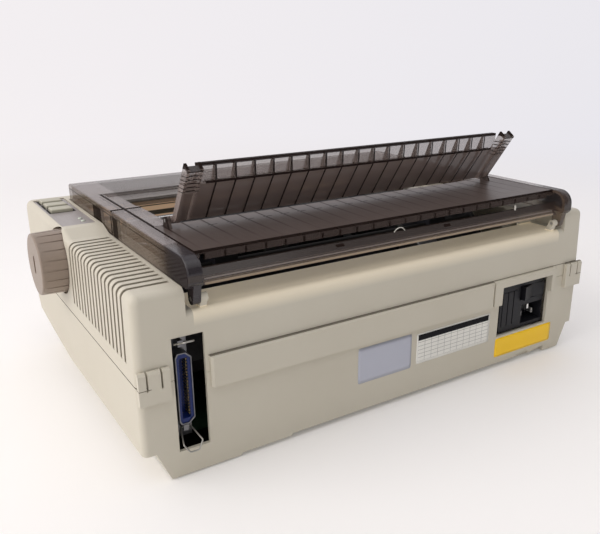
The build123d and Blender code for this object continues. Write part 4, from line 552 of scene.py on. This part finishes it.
frame_mat = plastic("dark_steel", (0.045, 0.045, 0.047), (0.060, 0.060, 0.062), rough=0.5, metallic=0.7,
                    **PLATED_GRAIN)
zinc_mat = plastic("plated_steel", (0.42, 0.42, 0.40), (0.55, 0.545, 0.52), rough=0.36, metallic=0.9,
                   **PLATED_GRAIN)
bright_mat = plastic("bright_steel", (0.62, 0.62, 0.62), (0.52, 0.52, 0.52), rough=0.17, metallic=1.0,
                     blotch=60.0, **FINE_GRAIN)
wire_mat = plastic("bail_wire", (0.42, 0.41, 0.38), (0.33, 0.32, 0.30), rough=0.3, metallic=0.9, blotch=80.0,
                   **FINE_GRAIN)
rod_mat = plastic("blued_rod", (0.012, 0.011, 0.010), (0.008, 0.0075, 0.007), rough=0.6, specular=0.08,
                  blotch=60.0, **FINE_GRAIN)
shell_mat = plastic("shell_steel", (0.20, 0.20, 0.21), (0.14, 0.14, 0.15), rough=0.34, metallic=0.9,
                    blotch=120.0, mix=0.8, bump=0.03)
motor_mat = plastic("motor_steel", (0.24, 0.24, 0.245), (0.30, 0.30, 0.30), rough=0.38, metallic=0.85,
                    blotch=90.0)
head_mat = plastic("cast_head", (0.14, 0.14, 0.145), (0.20, 0.20, 0.205), rough=0.5, metallic=0.6,
                   grain=600.0, bump=0.2)
gold_mat = plastic("contact_metal", (0.60, 0.46, 0.20), (0.52, 0.40, 0.19), rough=0.28, metallic=1.0,
                   blotch=80.0)
pin_mat = plastic("pin_metal", (0.80, 0.79, 0.77), (0.70, 0.69, 0.68), rough=0.3, metallic=0.9, blotch=80.0)
board_mat = plastic("board_green", (0.008, 0.028, 0.012), (0.014, 0.042, 0.02), rough=0.35, blotch=150.0,
                    mix=0.9, coat=0.3)
core_mat = plastic("core_steel", (0.05, 0.045, 0.042), (0.09, 0.08, 0.07), rough=0.5, metallic=0.3,
                   blotch=300.0, stretch=(1.0, 1.0, 6.0))

TABLE_PLATE = (-91.0, 26.8), (-15.0, 51.5)          # its lower and upper corners, in x and z
silver_mat = plastic("silver_label", (0.47, 0.485, 0.56), (0.43, 0.445, 0.52), rough=0.4, metallic=0.25,
                     grain=1400.0, bump=0.02)
yellow_mat = plastic("yellow_label", (0.98, 0.61, 0.004), (0.93, 0.56, 0.006), rough=0.42, bump=0.02)
paper_mat = plastic("white_label", (0.80, 0.79, 0.74), (0.74, 0.73, 0.68), rough=0.5, bump=0.02)
paint(paper_mat, ruled(7, 11, *TABLE_PLATE, head=0.24), (0.02, 0.02, 0.022))

finishes = {
    case_mat: ("lower_case",),
    vent_mat: ("upper_case",),
    smoked_mat: ("rear_cover", "front_lid"),
    window_mat: ("rear_panel",),
    guide_mat: ("paper_guide",),
    knob_mat: ("platen_knob",),
    button_mat: BUTTONS,
    panel_mat: ("control_panel",),
    lamp_mat: ("panel_lamps",),
    black_mat: ("ribbon_cartridge", "left_tractor", "right_tractor", "left_tractor_flap",
                "right_tractor_flap", "power_inlet", "power_rocker", "fuse_drawer"),
    grey_mat: ("carriage",),
    white_mat: ("platen_gear", "platen_bushes", "motor_pulley", "idler_pulley", "feed_idler_gear",
                "tractor_idler_gear", "tractor_gear", "left_sprocket", "right_sprocket"),
    blue_mat: ("connector_insulator",),
    rubber_mat: ("platen_roller", "pressure_rollers", "bail_rollers"),
    foot_mat: ("rubber_feet",),
    belt_mat: ("carriage_belt",),
    frame_mat: ("mechanism_base", "right_side_frame", "left_side_frame"),
    zinc_mat: ("case_screws", "hinge_pins", "mechanism_screws", "paper_pan"),
    bright_mat: ("platen_shaft", "carriage_rod", "paper_bail"),
    wire_mat: ("lower_bail", "upper_bail"),
    rod_mat: ("tractor_shaft", "support_rod"),
    shell_mat: ("connector_shell",),
    motor_mat: ("carriage_motor", "feed_motor"),
    head_mat: ("print_head",),
    gold_mat: ("connector_contacts", "feed_pinion"),
    pin_mat: ("inlet_pins",),
    board_mat: ("main_board",),
    core_mat: ("transformer",),
}
for mat, names in finishes.items():
    for name in names:
        nodes[name].data.materials.clear()
        nodes[name].data.materials.append(mat)


def refinish(name, mat, chosen):
    """Gives another material to the faces of a node that chosen(middle, normal) picks, with middle in mm."""
    mesh = nodes[name].data
    mesh.materials.append(mat)
    for face in mesh.polygons:
        if chosen(face.center / MM, face.normal):
            face.material_index = len(mesh.materials) - 1


def groove_wall(middle, normal):
    """The side walls of the vent grooves."""
    return middle.x > 160.0 and 2.0 < middle.y < 126.0 and middle.z > 77.0 and abs(normal.y) > 0.9


def front_wall(middle, normal):
    """The inner faces of the case's front."""
    return middle.y < -118.0 and normal.y > 0.8


def cover_side(middle, normal):
    """The covers' upright sides."""
    return abs(middle.x) > 157.9 and abs(normal.x) > 0.8


refinish("upper_case", groove_shade_mat, groove_wall)
refinish("upper_case", inner_mat, front_wall)
refinish("rear_cover", smoked_side_mat, cover_side)
refinish("front_lid", smoked_side_mat, cover_side)


# ---------------------------------------------------------------- thin pieces that the solids don't have
REAR_WALL_Y, WELL_BEHIND = 139.0, 300.0
PLATE_LIFT, PLATE_THICKNESS, PLATE_CORNER = 0.15, 0.12, 0.3
PLATE_STEPS = 24, 8                     # the faces across a plate and up it


def add_piece(name, data, mat, body):
    """A new piece of one material, which moves with a body."""
    data.materials.append(mat)
    piece = add_object(name, data)
    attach(piece, body)
    return piece


def add_mesh(name, bm, mat, body, smooth=False):
    """A new piece from mesh code, which is used up."""
    mesh = bpy.data.meshes.new(name)
    bm.to_mesh(mesh)
    bm.free()
    for face in mesh.polygons:
        face.use_smooth = smooth
    return add_piece(name, mesh, mat, body)


def rear_wall(x, z):
    """How far back the case's rear wall stands at one place, in metres."""
    start = Vector((x * MM, WELL_BEHIND * MM, z * MM))
    hit, point, _, _ = nodes["lower_case"].ray_cast(start, Vector((0.0, -1.0, 0.0)))
    return point.y if hit else REAR_WALL_Y * MM


def plate(name, low, high, mat):
    """A thin plate on the case's rear wall, between two corners (x, z), that follows the wall."""
    bm = bmesh.new()
    across, up = PLATE_STEPS
    rows = []
    for j in range(up + 1):
        row = []
        for i in range(across + 1):
            x = low[0] + (high[0] - low[0]) * i / across
            z = low[1] + (high[1] - low[1]) * j / up
            if i in (0, across) and j in (0, up):
                x += PLATE_CORNER if i == 0 else -PLATE_CORNER
                z += PLATE_CORNER if j == 0 else -PLATE_CORNER
            row.append(bm.verts.new((x * MM, rear_wall(x, z) + PLATE_LIFT * MM, z * MM)))
        rows.append(row)
    for lower, upper in zip(rows, rows[1:]):
        for i in range(across):
            bm.faces.new((lower[i], upper[i], upper[i + 1], lower[i + 1]))
    thick = add_mesh(name, bm, mat, "case", smooth=True).modifiers.new("thickness", "SOLIDIFY")
    thick.thickness = PLATE_THICKNESS * MM
    thick.offset = -1.0


plate("rating_plate", (-10.0, 25.5), (38.5, 53.0), silver_mat)
plate("table_plate", *TABLE_PLATE, paper_mat)
plate("notice_plate", (-167.0, 10.0), (-99.5, 26.5), yellow_mat)


def wire(name, points, radius, mat, body):
    """A bent wire along points."""
    curve = bpy.data.curves.new(name, "CURVE")
    curve.dimensions = "3D"
    curve.bevel_depth = radius * MM
    curve.bevel_resolution = 3
    curve.use_fill_caps = True
    line = curve.splines.new("NURBS")
    line.points.add(len(points) - 1)
    for spot, point in zip(line.points, points):
        spot.co = (*(value * MM for value in point), 1.0)
    line.order_u = 3
    line.use_endpoint_u = True
    add_piece(name, curve, mat, body)


wire("catch_spring", ((3.4, 130.9, 130.1), (1.9, 131.2, 132.3), (-1.4, 131.5, 133.2), (-4.6, 131.2, 132.2),
                      (-6.2, 130.9, 130.1)), 0.32, white_mat, "rear_cover")
wire("catch_post", ((-118.0, 131.0, 130.0), (-118.0, 131.1, 131.8), (-118.0, 131.0, 133.7)), 0.75, white_mat,
     "rear_cover")

GUIDE_FOOT_Y, GUIDE_FOOT_Z, GUIDE_BEND_Y = 72.0, 143.6, 92.5
CAP_X, CAP_ALONG, CAP_BEHIND = 136.05, 48.4, 0.7    # its middle: along the guide from its foot, and behind it
CAP_SIZE = (10.6, 4.6, 0.9)


def guide_cap(name, side):
    """The short web that closes the top of the guide's channel-shaped end."""
    lean = math.atan2(GUIDE_BEND_Z - GUIDE_FOOT_Z, GUIDE_BEND_Y - GUIDE_FOOT_Y)
    middle = Vector((side * CAP_X, GUIDE_FOOT_Y + CAP_ALONG * math.cos(lean) + CAP_BEHIND * math.sin(lean),
                     GUIDE_FOOT_Z + CAP_ALONG * math.sin(lean) - CAP_BEHIND * math.cos(lean))) * MM
    bm = bmesh.new()
    bmesh.ops.create_cube(bm, size=1.0)
    place = Matrix.Translation(middle) @ Matrix.Rotation(lean - math.pi / 2, 4, "X")
    for corner in bm.verts:
        across, along_guide, deep = corner.co
        spot = Vector((across * CAP_SIZE[0], deep * CAP_SIZE[1], along_guide * CAP_SIZE[2])) * MM
        corner.co = place @ spot
    bmesh.ops.bevel(bm, geom=list(bm.edges), offset=0.2 * MM, segments=2, affect="EDGES")
    add_mesh(name, bm, cap_mat, "paper_guide")


guide_cap("guide_cap_left", -1)
guide_cap("guide_cap_right", 1)


# ---------------------------------------------------------------- floor
FLOOR_RADIUS = 30.0
FLOOR_ENDS = (0.30, 1.5)            # where the floor begins to turn into the wall's colour, and where it has


def floor_material():
    """A pale floor that turns into an even pale backdrop away from the printer."""
    mat = plastic("floor", (0.84, 0.825, 0.81), (0.86, 0.845, 0.83), rough=0.7, blotch=3.0, grain=60.0,
                  bump=0.0)
    tree, shader = mat.node_tree, shader_of(mat)
    shader.inputs["Emission Color"].default_value = (0.97, 0.96, 0.96, 1.0)
    shader.inputs["Emission Strength"].default_value = 0.10
    place = add_node(tree, "TexCoord").outputs["Object"]
    reach = add_node(tree, "VectorMath", {0: place}, operation="LENGTH").outputs["Value"]
    side = number(tree, "DIVIDE", along(tree, place, RIGHTWARD), reach)
    wall = add_node(tree, "Emission", {"Color": wall_colour(tree, side)})
    share = rescale(tree, reach, *FLOOR_ENDS, kind="SMOOTHSTEP")
    both = add_node(tree, "MixShader", {"Fac": share, 1: shader.outputs["BSDF"], 2: wall.outputs["Emission"]})
    put(tree, tree.nodes["Material Output"].inputs["Surface"], both.outputs["Shader"])
    return mat


bm = bmesh.new()
bmesh.ops.create_circle(bm, cap_ends=True, radius=FLOOR_RADIUS, segments=96)
mesh = bpy.data.meshes.new("floor")
bm.to_mesh(mesh)
bm.free()
mesh.materials.append(floor_material())
add_object("floor", mesh)
